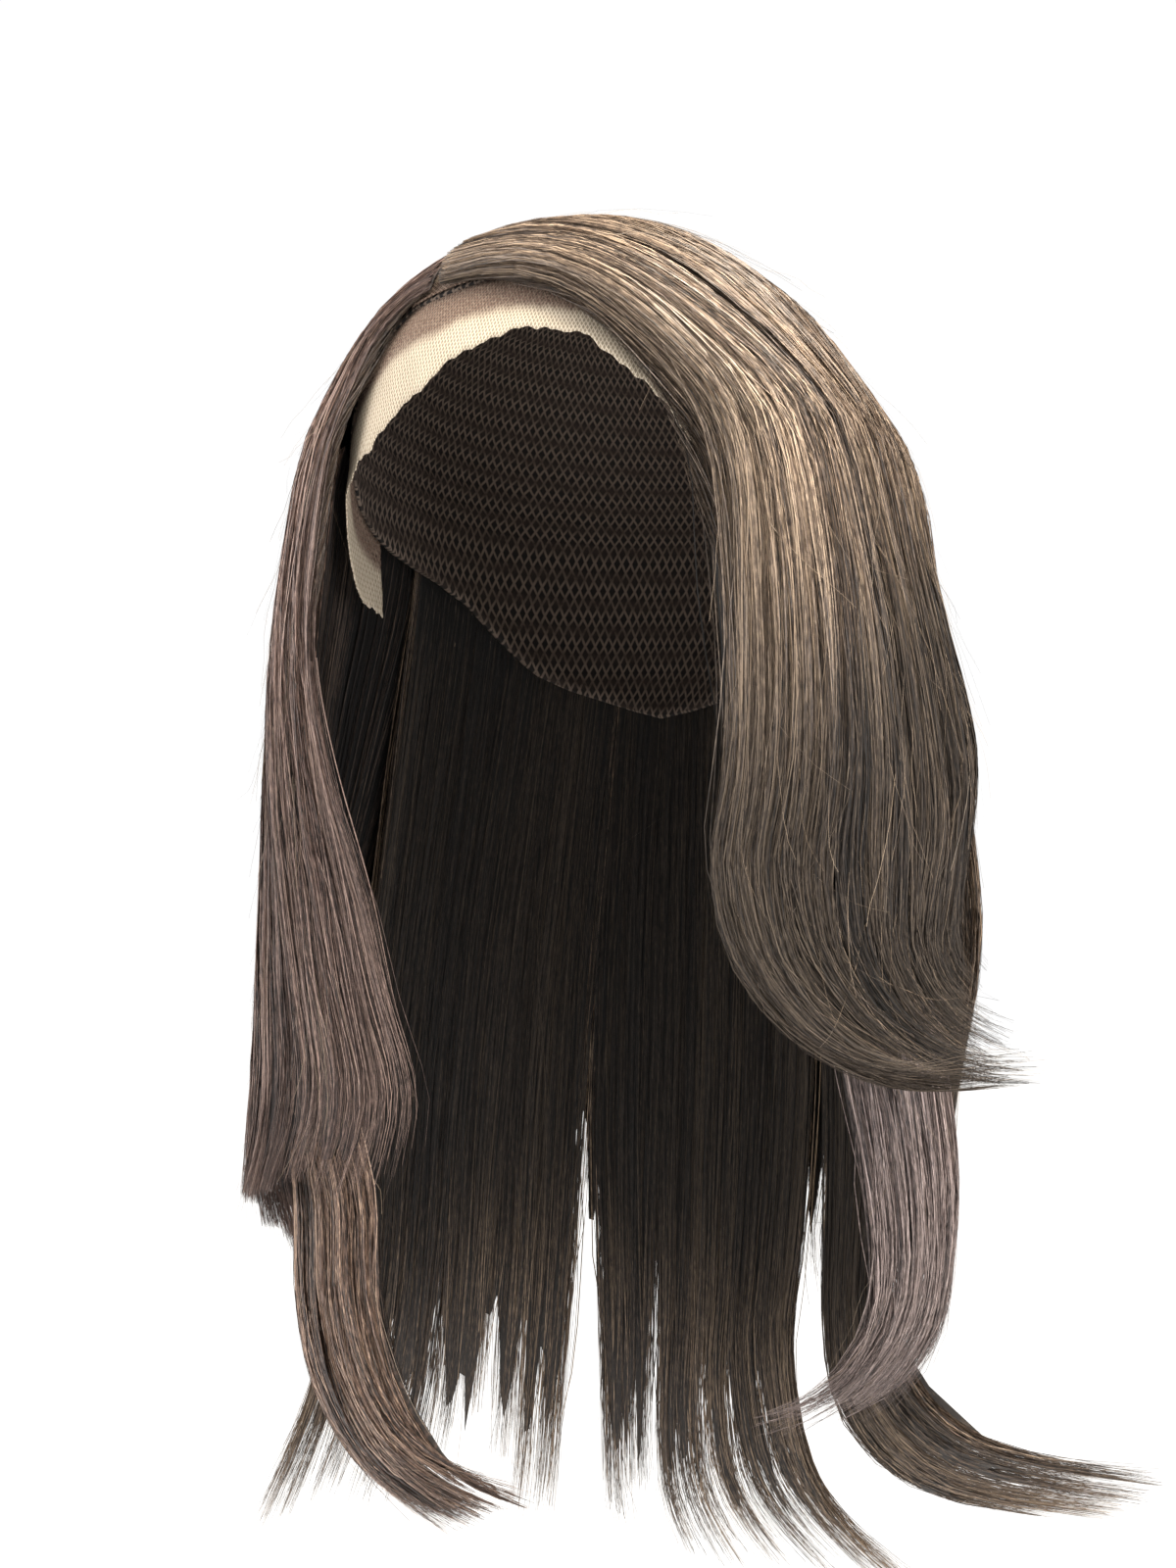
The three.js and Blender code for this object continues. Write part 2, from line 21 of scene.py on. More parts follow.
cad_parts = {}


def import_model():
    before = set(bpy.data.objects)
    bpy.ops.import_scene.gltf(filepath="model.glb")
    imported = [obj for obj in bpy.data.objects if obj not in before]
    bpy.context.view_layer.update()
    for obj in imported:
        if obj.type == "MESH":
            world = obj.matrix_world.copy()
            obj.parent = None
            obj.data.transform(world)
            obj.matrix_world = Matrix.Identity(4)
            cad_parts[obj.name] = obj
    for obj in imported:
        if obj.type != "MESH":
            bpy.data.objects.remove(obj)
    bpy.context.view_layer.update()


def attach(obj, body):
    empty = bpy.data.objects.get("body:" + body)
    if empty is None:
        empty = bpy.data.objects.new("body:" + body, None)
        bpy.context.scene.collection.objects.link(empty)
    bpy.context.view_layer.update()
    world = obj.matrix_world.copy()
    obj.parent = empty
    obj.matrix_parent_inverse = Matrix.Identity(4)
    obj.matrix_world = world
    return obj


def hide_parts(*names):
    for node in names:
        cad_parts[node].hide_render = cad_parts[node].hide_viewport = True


Floats = NDArray[np.float64]
Numbers = NDArray[np.int64]
Pair = tuple[float, float]
Triple = tuple[float, float, float]
Colour = tuple[float, float, float]

LOG = logging.getLogger("wig")
MM = 0.001
SEED = 41

# The clearances between the cap, the lace and the hair, and the walls that they lie on
CAP_WALL = 1.2
LACE_WALL = 1.0
SEAT_GAP = 0.4
HAIR_SEAT_GAP = 0.6
HAIR_LACE_GAP = 0.9
LAYER_GAP = 1.3

# The hair's reach below the widest level of the head, its tips' thickness and its locks' width
HAIR_DROP = 390.0
TIP_THICKNESS = 2.4
LOCK_WIDTH = 7.5

# A layer: the most that a groove takes from its thickness, the share of its thickness at its root, the
# shares of its length over which it grows from there and thins to its ends, and the same for its two sides
GROOVE_SHARE = 0.45
ROOT_THINNESS = 0.5
ROOT_SHARE = 0.1
END_SHARE = 0.28
SIDE_THINNESS = 0.45
SIDE_SHARE = 0.12

# Where a layer stands off the ones beside it, in shares of HAIR_DROP
FREE_DROP = 0.37
FREE_STRETCH = 0.3

# The parting, and the sweep of the hair beside the face
PART_WIDTH = 3.6
PART_STRIP_WIDTH = 20.0
SWOOP_BULGE = 0.2
SWOOP_SHARE = 0.5
TUCK_SHARE = 0.2
CROWN_LEVEL = 0.5
GAP_SHARE = 0.25

# Where round the head the hair ends at the face, and where it is rooted round the back end of the parting
WHORL_FROM = 118.0
WHORL_TO = 242.0
FIRST_AZIMUTH = 45.0
LAST_AZIMUTH = 317.0

# How a strand's places are spaced before they are smoothed
CROWN_STEPS = 7
ROOT_STEPS = 3
DROP_STEP = 0.09
TURN_STEP = 20.0
ROW_CROWDING = 1.25
TABLE_EASE = 0.35

# The levels between which the strands' turns are eased, and the stretch over which that sets in at each
EASED_LEVELS = (-0.36, 0.97)
EASED_STRETCHES = (0.2, 0.3)

# Where along a layer a joined edge parts from the next layer, and over what share of its length
PARTED_FROM = 0.4
PARTED_STRETCH = 0.25

# The painted light and shade on a layer: where its painted light fades from its roots to its ends, the
# painted shade at a parting and how far that reaches, and the painted shade beside the face, how far it
# reaches, and where along the layer it is gone
FADE_FROM = 0.3
FADE_STRETCH = 0.35
ROOT_SHADE = 0.62
ROOT_SHADE_REACH = 0.13
FACE_SHADE = 0.5
FACE_SHADE_REACH = 0.16
FACE_SHADE_END = 0.35
FACE_SHADE_STRETCH = 0.2

# The mass: its columns' width in mm and their stretches, how deep below the strands it lies in mm, on the
# crown and hanging, and the least share of the thickness that it keeps
MASS_PITCH = 1.7
MASS_STRETCHES = 34
MASS_EVENNESS = 0.25
MASS_SUNK = (0.8, 0.55)
MASS_LEAST = 0.35

# Where along a layer it has left the crown, and over what share of its length that turns
HANGING_FROM = 0.2
HANGING_STRETCH = 0.3

# The mass: the share of the width that it leaves free at each side, how unevenly it is notched between
# locks and how deeply at most, the share of its height at its sides and how far in that reaches
MASS_INSET = 0.004
NOTCH_SPREAD = 0.3
NOTCH_LIMIT = 1.6
RIM_THINNESS = 0.7
RIM_SHARE = 0.045

# How far its inside lies off the layer's own, as a share of the thickness and at most in mm, its least wall
# in mm, and how far apart in mm its outside and its inside lie on the streaks
UNDERSIDE_SHARE = 0.14
UNDERSIDE_LIMIT = 1.1
LEAST_WALL = 0.15
INSIDE_SHIFT = 300

# Its tone and painted light outside, what painted shade takes from both for each mm of groove, and its tone
# and painted light inside, both darker there as painted shade
MASS_TONE = 0.27
MASS_PAINTED_LIGHT = 0.68
GROOVE_PAINTED_SHADE_TONE = 0.06
GROOVE_PAINTED_SHADE = 0.14
INSIDE_PAINTED_SHADE_TONE = 0.15
INSIDE_PAINTED_LIGHT = -0.21

# Where along a layer its inside comes out into the light, and over what share of its length
LIT_FROM = 0.6
LIT_STRETCH = 0.3

# A strand: half its width in mm, how it is turned and twisted in radians, the spread of tones, how deep in
# mm the lowest lies in the mass, and how far apart in mm the strands' places on the streaks may lie
HALF_WIDTHS = (0.1, 0.22)
FIBRE_TURN = 0.55
FIBRE_TWIST = 0.5
LOCK_TONES = 0.1
STRAND_TONES = 0.21
SUNK_DEPTH = 0.9
STREAK_REACH = 900.0

# Where strands start along a layer, at its roots and out of the mass, how many mm deeper the latter start,
# and over what share of the length they come up
ROOT_STARTS = (0.0, 0.012)
LOW_STARTS = (0.1, 0.62)
LOW_DEPTH = 1.2
LOW_STRETCH = 0.12

# The evenness of the strands' points, how far they slip along, and how many locks off a strand may gather
STRAND_EVENNESS = 0.3
KNOT_SLIP = 0.5
LOCK_PICK = 0.25

# The strands' waves from root to tip, how many mm they stray, how many the loose ones do, and their share
WAVES = (1.1, 2.7)
WAVE_REACH = 1.3
LOOSE_REACH = 5.0
LOOSE_SHARE = 0.05

# The ends: where the strands spread through the thickness and where they stand off one another, with the
# shares of the length over which that sets in, and the least height in mm that they keep over the inside
SPREAD_FROM = 0.74
SPREAD_STRETCH = 0.2
FLUFF_FROM = 0.78
FLUFF_STRETCH = 0.22
LEAST_HEIGHT = 0.25

# The noises of hair and net, as how many forms there are to a millimetre across and along
FIBRE = (2.2, 0.022)
BAND = (0.16, 0.006)
FLECK = (2.4, 0.3)
CRIMP = (1.1, 0.45)
MOTTLE = (0.12, 0.12)
SPECKLE = (0.9, 0.9)

# The net's threads: how steeply they slant, and where from the middle of one its edge begins and ends
WEAVE_SLANT = 0.58
THREAD_EDGES = (0.25, 0.6)

# How far bands and flecks shift the hair's tone, the flecks being partly random tone and partly painted
# glints, and the tones over which its three colours meet
BAND_TONE = 0.9
FLECK_AND_GLINT_TONE = 1.5
DARK_TONES = (0.12, 0.55)
LIGHT_TONES = (0.5, 1.05)

# The light that buried hair keeps, how much duller it is, and the crimp's share of height and gloss
BURIED_LIGHT = 0.2
BURIED_DULLNESS = 0.4
CRIMP_HEIGHT = 0.6
CRIMP_DULLNESS = 0.16


def mix(a: Any, b: Any, share: Any) -> Any:
    """Returns the value a share of the way from a to b."""
    return a + (b - a) * share


def smooth(x: Any) -> Any:
    """Returns 0 below 0, 1 above 1 and an eased rise between."""
    held = np.clip(x, 0.0, 1.0)
    return held * held * (3.0 - 2.0 * held)


def unit(vectors: Floats) -> Floats:
    """Returns the vectors at length 1."""
    return vectors / np.maximum(np.linalg.norm(vectors, axis=-1, keepdims=True), 1e-9)


class Ease(NamedTuple):
    """How far a strand's turns are spread in mm, between two shares of the width from the face edge."""

    reach: float
    start: float
    end: float


EASES = (Ease(48.0, 0.02, 0.5), Ease(22.0, -1.0, -0.5))


class CurtainRow(NamedTuple):
    """The hanging hair's inside at one drop: width, length and back are shares of the head's half sizes."""

    drop: float
    width: float
    length: float
    back: float


class FullnessRow(NamedTuple):
    """How much of each stack's thickness is there at one level of the hair."""

    level: float
    under: float
    middle: float
    top: float


class SideRow(NamedTuple):
    """How much of the top stack's thickness lies at one azimuth."""

    azimuth: float
    top: float


class EdgeRow(NamedTuple):
    """One place of an edge on the head, as an angle from the top of the head."""

    azimuth: float
    polar: float


CURTAIN = (
    CurtainRow(0.00, 1.00, 1.00, 0.00),
    CurtainRow(0.10, 1.04, 0.98, 0.05),
    CurtainRow(0.20, 1.12, 0.89, 0.15),
    CurtainRow(0.30, 1.20, 0.79, 0.26),
    CurtainRow(0.40, 1.26, 0.71, 0.34),
    CurtainRow(0.55, 1.29, 0.68, 0.39),
    CurtainRow(0.75, 1.26, 0.68, 0.42),
    CurtainRow(1.20, 1.12, 0.66, 0.44),
)
FULLNESS = (
    FullnessRow(-1.20, 1.00, 1.00, 0.60),
    FullnessRow(-0.60, 1.00, 1.00, 0.70),
    FullnessRow(-0.42, 1.00, 1.00, 0.98),
    FullnessRow(-0.30, 1.00, 1.00, 1.02),
    FullnessRow(-0.20, 0.80, 1.00, 1.04),
    FullnessRow(-0.10, 0.35, 0.85, 1.08),
    FullnessRow(0.00, 0.14, 0.60, 1.04),
    FullnessRow(0.05, 0.00, 0.52, 1.03),
    FullnessRow(0.15, 0.00, 0.35, 0.96),
    FullnessRow(0.33, 0.00, 0.10, 0.76),
    FullnessRow(0.55, 0.00, 0.00, 0.52),
    FullnessRow(0.80, 0.00, 0.00, 0.26),
    FullnessRow(1.00, 0.00, 0.00, 0.16),
)
SIDE_FULLNESS = (
    SideRow(40, 1.25),
    SideRow(105, 1.35),
    SideRow(180, 1.05),
    SideRow(250, 0.52),
    SideRow(290, 0.34),
)
CAP_CORNERS = 36
CAP_EDGE = (
    EdgeRow(0, 52),
    EdgeRow(30, 60),
    EdgeRow(45, 74),
    EdgeRow(60, 89),
    EdgeRow(75, 97),
    EdgeRow(95, 100),
    EdgeRow(115, 102),
    EdgeRow(145, 117),
    EdgeRow(180, 124),
)
LACE_EDGE = (
    EdgeRow(-84, 112),
    EdgeRow(-68, 110),
    EdgeRow(-51, 96),
    EdgeRow(-35, 92),
    EdgeRow(-20, 83),
    EdgeRow(-8, 74),
    EdgeRow(6, 69),
    EdgeRow(20, 70),
    EdgeRow(36, 81),
    EdgeRow(46, 91),
    EdgeRow(62, 104),
    EdgeRow(84, 110),
)


def read(rows: Sequence[Any], key: str, value: str, at: Any) -> Floats:
    """Reads a table between its rows, eased a little so that its corners don't show.

    Args:
        rows: The table, rising in its key column.
        key: The column that the places are in.
        value: The column to read.
        at: The places to read at.

    Returns:
        The values at those places.
    """
    keys = np.array([getattr(row, key) for row in rows])
    values = np.array([getattr(row, value) for row in rows])
    places = np.asarray(at, float)
    high = np.clip(np.searchsorted(keys, places), 1, len(keys) - 1)
    share = np.clip((places - keys[high - 1]) / (keys[high] - keys[high - 1]), 0, 1)
    return mix(values[high - 1], values[high], mix(share, smooth(share), TABLE_EASE))


class Stack(Enum):
    """The three layers of thickness that the hair lies in, with each one's fullest thickness."""

    UNDER = 7.5
    MIDDLE = 9.5
    TOP = 17.0


def towards(azimuth: Any, polar: Any) -> Floats:
    """Returns the direction of an azimuth and an angle from the top of the head."""
    a, b = np.broadcast_arrays(np.radians(azimuth), np.radians(polar))
    return np.stack([np.sin(a) * np.sin(b), -np.cos(a) * np.sin(b), np.cos(b)], -1)


def sweep(start: Floats, end: Floats, share: Any) -> Floats:
    """Finds directions along the round of the head.

    Args:
        start: Where the round starts.
        end: Where it ends.
        share: The shares of the way from start to end.

    Returns:
        The directions.
    """
    angle = np.arccos(np.clip((start * end).sum(-1), -1, 1))[..., None]
    part = np.asarray(share, float)[..., None] if np.ndim(share) else share
    return (np.sin((1 - part) * angle) * start + np.sin(part * angle) * end) / np.sin(angle)


@dataclass(frozen=True)
class Form:
    """The head that the cap is cut for, and the hollow that the hair hangs round."""

    half_width: float = 76.0
    half_length: float = 94.0
    crown_height: float = 82.0
    nape_height: float = 115.0
    squareness: float = 2.3
    part_front: Triple = (-0.31, -0.78, 0.54)
    part_back: Triple = (-0.24, 0.28, 0.93)

    def head_point(self, direction: Floats, offset: Any) -> Floats:
        """Finds places on the head.

        Args:
            direction: Directions, as shares of the head's half sizes.
            offset: How far off the head's surface they lie.

        Returns:
            The places.
        """
        d = unit(direction)
        heights = np.where(d[..., 2] < 0, self.nape_height, self.crown_height)
        one = np.ones_like(heights)
        half = np.stack([one * self.half_width, one * self.half_length, heights], -1)
        power = self.squareness
        reach = (np.abs(d) ** power).sum(-1, keepdims=True) ** (-1 / power)
        normal = unit(np.sign(d) * np.abs(d) ** (power - 1) / half)
        out = np.broadcast_to(np.asarray(offset, float), heights.shape)[..., None]
        return half * d * reach + normal * out - np.array([0, 0, self.crown_height])

    def curtain_point(self, azimuth: Floats, drop: Any, offset: Any) -> Floats:
        """Finds places on the hanging hair's inside.

        Args:
            azimuth: Where round the head they are.
            drop: How far below the widest level, as a share of HAIR_DROP.
            offset: How far outside of it they lie.

        Returns:
            The places.
        """
        d = towards(azimuth, 90.0)
        reach = (np.abs(d[..., :2]) ** self.squareness).sum(-1) ** (-1 / self.squareness)
        width = read(CURTAIN, "drop", "width", drop) * self.half_width + offset
        length = read(CURTAIN, "drop", "length", drop) * self.half_length + offset
        back = read(CURTAIN, "drop", "back", drop) * self.half_length
        height = np.broadcast_to(-self.crown_height - np.asarray(drop) * HAIR_DROP, reach.shape)
        return np.stack([width * reach * d[..., 0], back + length * reach * d[..., 1], height], -1)

    def level_of(self, z: Any) -> Floats:
        """Returns the level of a height: 1 on top, 0 at the widest, then minus a share of HAIR_DROP."""
        above = np.asarray(z, float) + self.crown_height
        return np.where(above > 0, np.minimum(1, above / self.crown_height), above / HAIR_DROP)

    def stack_of(self, stack: Stack, level: Any, azimuth: Any) -> tuple[Floats, Floats]:
        """Finds where a stack lies.

        Args:
            stack: Which of the three it is.
            level: The level, as level_of gives it.
            azimuth: Where round the head.

        Returns:
            How far off the head or the curtain its inside lies, and how thick it is.
        """
        on_lace = CAP_WALL + SEAT_GAP + LACE_WALL + HAIR_LACE_GAP
        inner = mix(CAP_WALL + HAIR_SEAT_GAP, on_lace, smooth(np.asarray(level) / CROWN_LEVEL))
        for one in Stack:
            share = read(FULLNESS, "level", one.name.lower(), level)
            side = read(SIDE_FULLNESS, "azimuth", "top", azimuth) if one is Stack.TOP else 1.0
            thickness = share * side * one.value
            if one is stack:
                return inner, thickness
            inner = inner + thickness + LAYER_GAP * smooth(share / GAP_SHARE)
        raise ValueError(stack)

    def parting_line(self, share: Any) -> tuple[Floats, Floats, Floats]:
        """Follows the parting.

        Args:
            share: The share of the way from the hairline to the crown.

        Returns:
            The directions of its places, the way ahead along it and the way to its left.
        """
        front, back = unit(np.array(self.part_front)), unit(np.array(self.part_back))
        spots = sweep(front, back, share)
        ahead = unit(back - front)
        return spots, ahead, unit(np.cross(ahead, spots))

    def parting_root(self, azimuth: Floats) -> Floats:
        """Finds where the top stack's hair is rooted: up one side of the parting and down the other.

        Args:
            azimuth: Where round the head the hair falls.

        Returns:
            The directions of its roots.
        """
        up = (azimuth - FIRST_AZIMUTH) / (WHORL_FROM - FIRST_AZIMUTH)
        down = (LAST_AZIMUTH - azimuth) / (LAST_AZIMUTH - WHORL_TO)
        spots, ahead, left = self.parting_line(np.clip(np.minimum(up, down), 0, 1))
        turned = np.clip((azimuth - WHORL_FROM) / (WHORL_TO - WHORL_FROM), 0, 1)[..., None] * math.pi
        side = np.cos(turned) * left + np.sin(turned) * ahead
        return unit(spots + side * PART_WIDTH / 2 / self.half_width)


def catmull_rom(places: Floats, pieces: int) -> Floats:
    """Smooths lines through their places with centripetal curves.

    Args:
        places: The places, with the first axis along the lines.
        pieces: How many points are made from one place to the next.

    Returns:
        The points of the curves, laid out in the same way.
    """
    first, last = 2 * places[:1] - places[1:2], 2 * places[-1:] - places[-2:-1]
    p = np.concatenate([first, places, last])
    gaps = np.maximum(np.linalg.norm(np.diff(p, axis=0), axis=-1), 1e-6)[..., None] ** 0.5
    a, b, c = gaps[:-2], gaps[1:-1], gaps[2:]
    p0, p1, p2, p3 = p[:-3], p[1:-2], p[2:-1], p[3:]
    into = ((p1 - p0) / a - (p2 - p0) / (a + b) + (p2 - p1) / b) * b
    out = ((p2 - p1) / b - (p3 - p1) / (b + c) + (p3 - p2) / c) * b
    t = (np.arange(pieces) / pieces).reshape(-1, 1, 1, 1)
    h = 2 * t**3 - 3 * t**2
    made = (h + 1) * p1 + (t**3 - 2 * t**2 + t) * into - h * p2 + (t**3 - t**2) * out
    return np.concatenate([np.swapaxes(made, 0, 1).reshape(-1, *places.shape[1:]), places[-1:]])


def by_length(lines: Floats, count: int) -> tuple[Floats, Floats]:
    """Spaces points evenly along lines.

    Args:
        lines: Points, with the first axis along the lines and the second from line to line.
        count: How many points each line gets.

    Returns:
        The points, with the first axis from line to line, and each line's length.
    """
    steps = np.linalg.norm(np.diff(lines, axis=0), axis=-1)
    run = np.concatenate([np.zeros((1, lines.shape[1])), np.cumsum(steps, axis=0)])
    even = np.empty((lines.shape[1], count, 3))
    for i in range(lines.shape[1]):
        at = np.linspace(0, run[-1, i], count)
        for k in range(3):
            even[i, :, k] = np.interp(at, run[:, i], lines[:, i, k])
    return even, run[-1]


def make_object(name: str, vertices: Floats, quads: Numbers, triangles: Numbers) -> bpy.types.Object:
    """Makes a smooth-shaded mesh object.

    Args:
        name: The piece's name.
        vertices: Its corners in millimetres.
        quads: Its four-sided faces, as rows of corner numbers.
        triangles: Its three-sided faces, in the same way.

    Returns:
        The new object, linked to the scene.
    """
    mesh = bpy.data.meshes.new(name)
    mesh.vertices.add(len(vertices))
    mesh.vertices.foreach_set("co", (vertices * MM).astype(np.float32).ravel())
    corners = np.concatenate([quads.ravel(), triangles.ravel()]).astype(np.int32)
    starts = np.concatenate([np.arange(len(quads)) * 4, quads.size + np.arange(len(triangles)) * 3])
    mesh.loops.add(len(corners))
    mesh.loops.foreach_set("vertex_index", corners)
    mesh.polygons.add(len(starts))
    mesh.polygons.foreach_set("loop_start", starts.astype(np.int32))
    mesh.update(calc_edges=True)
    mesh.shade_smooth()
    made = bpy.data.objects.new(name, mesh)
    bpy.context.scene.collection.objects.link(made)
    return made


def give(piece: bpy.types.Object, **columns: Floats) -> None:
    """Stores one number for each corner of a piece, for its material to read.

    Args:
        piece: The piece.
        **columns: The numbers, by the attribute's name.
    """
    for name, values in columns.items():
        kept = piece.data.attributes.new(name, "FLOAT", "POINT")
        kept.data.foreach_set("value", np.ascontiguousarray(values, np.float32).ravel())


def wall(name: str, outer: Floats, inner: Floats, closed: bool = False) -> bpy.types.Object:
    """Makes one closed wall from the grids of its two faces.

    Args:
        name: The piece's name.
        outer: The outer face's points, as columns of rows.
        inner: The inner face's points, laid out in the same way.
        closed: Whether the last column meets the first again.

    Returns:
        The new object. Its corners are the outer grid's and then the inner grid's.
    """
    columns, rows = outer.shape[:2]
    number = np.arange(2 * columns * rows).reshape(2, columns, rows)
    if closed:
        number = np.concatenate([number, number[:, :1]], axis=1)
    out, ins = number

    def quads(a: Numbers, b: Numbers, c: Numbers, d: Numbers) -> Numbers:
        """Returns the faces between four runs of corners."""
        return np.stack([a, b, c, d], -1).reshape(-1, 4)

    faces = [
        quads(out[:-1, :-1], out[:-1, 1:], out[1:, 1:], out[1:, :-1]),
        quads(ins[:-1, :-1], ins[1:, :-1], ins[1:, 1:], ins[:-1, 1:]),
        quads(out[:-1, 0], out[1:, 0], ins[1:, 0], ins[:-1, 0]),
        quads(out[:-1, -1], ins[:-1, -1], ins[1:, -1], out[1:, -1]),
    ]
    if not closed:
        faces.append(quads(out[0, :-1], ins[0, :-1], ins[0, 1:], out[0, 1:]))
        faces.append(quads(out[-1, :-1], out[-1, 1:], ins[-1, 1:], ins[-1, :-1]))
    corners = np.concatenate([outer.reshape(-1, 3), inner.reshape(-1, 3)])
    return make_object(name, corners, np.concatenate(faces), np.empty((0, 3), int))


@dataclass
class Strands:
    """A set of strands of hair, each a thin flat fibre.

    Attributes:
        line: The strands' middle lines, as strands of points.
        up: A direction across each point's line.
        radius: Half the fibre's width at each point.
        tone: How light each strand is, from 0 to 1.
        cover: How light each point is painted: painted shade deep in the mass, in grooves and on
        the inside, with the layer's painted light and shade.
        along: How far down from the root each point lies, in millimetres.
    """

    line: Floats
    up: Floats
    radius: Floats
    tone: Floats
    cover: Floats
    along: Floats

    def build(self, name: str, rng: np.random.Generator) -> bpy.types.Object:
        """Makes one piece of all the strands.

        Args:
            name: The piece's name.
            rng: Turns each fibre by its own angle.

        Returns:
            The new object.
        """
        count, points = self.line.shape[:2]
        ahead = unit(np.gradient(self.line, axis=1))
        side = unit(np.cross(ahead, self.up))
        turned = rng.normal(0, FIBRE_TURN, (count, 1, 1))
        twist = rng.normal(0, FIBRE_TWIST, (count, 1, 1)) * np.linspace(0, 1, points)[:, None]
        angle = turned + twist
        reach = self.radius[..., None] * (np.cos(angle) * side + np.sin(angle) * np.cross(side, ahead))
        edges = np.stack([self.line + reach, self.line - reach], axis=2)
        number = np.arange(count * points * 2).reshape(count, points, 2)
        quads = np.stack([number[:, :-1, 0], number[:, :-1, 1], number[:, 1:, 1], number[:, 1:, 0]], -1)
        made = make_object(name, edges.reshape(-1, 3), quads.reshape(-1, 4), np.empty((0, 3), int))

        def spread(values: Floats) -> Floats:
            """Returns each point's value for both edges of its fibre."""
            return np.repeat(np.broadcast_to(values, (count, points)).ravel(), 2)

        give(
            made,
            tone=spread(self.tone[:, None]),
            cover=spread(self.cover),
            along=spread(self.along),
            across=spread(rng.uniform(0, STREAK_REACH, (count, 1))),
        )
        return made

    @staticmethod
    def join(sets: Sequence["Strands"]) -> "Strands":
        """Returns one set of all the strands of several sets whose strands have as many points."""
        names = ("line", "up", "radius", "tone", "cover", "along")
        return Strands(*(np.concatenate([getattr(one, name) for one in sets]) for name in names))


@dataclass
class Flow:
    """The run of a layer's hair, as a grid of its inside.

    Attributes:
        places: The grid's points, with the first axis from edge to edge and the second from root to tip.
        normals: The way out of the hair at each point.
        thickness: How thick the layer is at each point.
        girth: How wide the whole layer is at each point.
        lengths: The length of each column.
        margin: How far the columns reach past the layer's two edges, as a share of its width.
    """

    places: Floats
    normals: Floats
    thickness: Floats
    girth: Floats
    lengths: Floats
    margin: float

    def ease(self, reach: float, share: Floats) -> None:
        """Rounds off the strands' turns without leaving the surface that they lie on.

        Args:
            reach: How far along a strand a turn is spread, in millimetres.
            share: How much of this holds at each point.
        """
        rows = self.places.shape[1]
        step = float(self.lengths.mean()) / (rows - 1)
        beside = np.arange(-int(3 * reach / step), int(3 * reach / step) + 1)
        weight = np.exp(-0.5 * (beside * step / reach) ** 2)
        at = np.arange(rows)[:, None] + beside
        kept = weight * (at >= 0) * (at < rows)
        kept = kept * kept[:, ::-1]
        kept = kept / kept.sum(1, keepdims=True)
        spread = np.einsum("irkc,rk->irc", self.places[:, np.clip(at, 0, rows - 1)], kept)
        moved = spread - self.places
        level = (moved * self.normals).sum(-1, keepdims=True) * self.normals
        self.places = self.places + (moved - level) * share[..., None]

    @classmethod
    def through(cls, places: Floats, rows: int, margin: float) -> "Flow":
        """Lays the grid through strand places.

        Args:
            places: The places, with the first axis along the strands and the second across them.
            rows: How many points each column of the grid has.
            margin: How far the columns reach past the layer's two edges, as a share of its width.

        Returns:
            The grid, with no thickness yet.
        """
        grid, lengths = by_length(catmull_rom(places, 10), rows)
        along, aside = np.gradient(grid, axis=1), np.gradient(grid, axis=0)
        spacing = (1 + 2 * margin) / (len(grid) - 1)
        girth = np.linalg.norm(aside, axis=-1) / spacing
        return cls(grid, unit(np.cross(along, aside)), np.zeros(grid.shape[:2]), girth, lengths, margin)

    def read(self, values: Floats, across: Floats, along: Floats) -> Floats:
        """Reads one of the grid's fields between its points.

        Args:
            values: The field, such as places or thickness.
            across: Shares of the layer's width.
            along: Shares of its length.

        Returns:
            The field's values there.
        """
        columns, rows = values.shape[:2]
        x = (across + self.margin) / (1 + 2 * self.margin) * (columns - 1)
        y = along * (rows - 1)
        x, y = np.clip(x, 0, columns - 1.001), np.clip(y, 0, rows - 1.001)
        i, j = x.astype(int), y.astype(int)
        s, t = x - i, y - j
        if values.ndim == 3:
            s, t = s[..., None], t[..., None]
        low = mix(values[i, j], values[i + 1, j], s)
        return mix(low, mix(values[i, j + 1], values[i + 1, j + 1], s), t)

    def knots(self, count: int, evenness: float) -> Floats:
        """Spaces points along the hair so that they are closer where it bends.

        Args:
            count: How many stretches there are.
            evenness: The share of the spacing that is even whatever the bend, against the sharpest bend.

        Returns:
            The points, as shares of the length from 0 to 1.
        """
        direction = unit(np.gradient(self.places, axis=1))
        bend = np.linalg.norm(np.gradient(direction, axis=1), axis=-1).mean(0) ** 0.5
        need = bend / bend.max() + evenness
        run = np.concatenate([[0], np.cumsum((need[1:] + need[:-1]) / 2)])
        return np.interp(np.linspace(0, 1, count + 1), run / run[-1], np.linspace(0, 1, len(run)))


@dataclass(frozen=True)
class Ridge:
    """One size of lock that the hair parts into, with how deep its grooves are and how far they drift."""

    width: float
    depth: float
    drift: float


RIDGES = (Ridge(27.0, 2.0, 0.5), Ridge(11.0, 1.3, 0.8), Ridge(4.6, 0.55, 1.3))


class Cut(NamedTuple):
    """The ends of a layer, in shares of its length.

    Attributes:
        strand_spread: How much the strands' lengths vary.
        lock_spread: How much the locks' lengths vary.
        mass_end: Where the mass ends in the middle of a lock.
        mass_notch: How much sooner it ends between two locks.
        mass_tip: The share of its thickness that it has at its end.
        mass_taper: Over what share of the length it thins to that.
    """

    strand_spread: float
    lock_spread: float
    mass_end: float
    mass_notch: float
    mass_tip: float
    mass_taper: float


class Ends(Enum):
    """The ways that a layer's ends are cut."""

    FEATHERED = Cut(0.06, 0.04, 0.9, 0.13, 0.12, 0.2)
    BLUNT = Cut(0.01, 0.012, 0.955, 0.02, 0.6, 0.05)


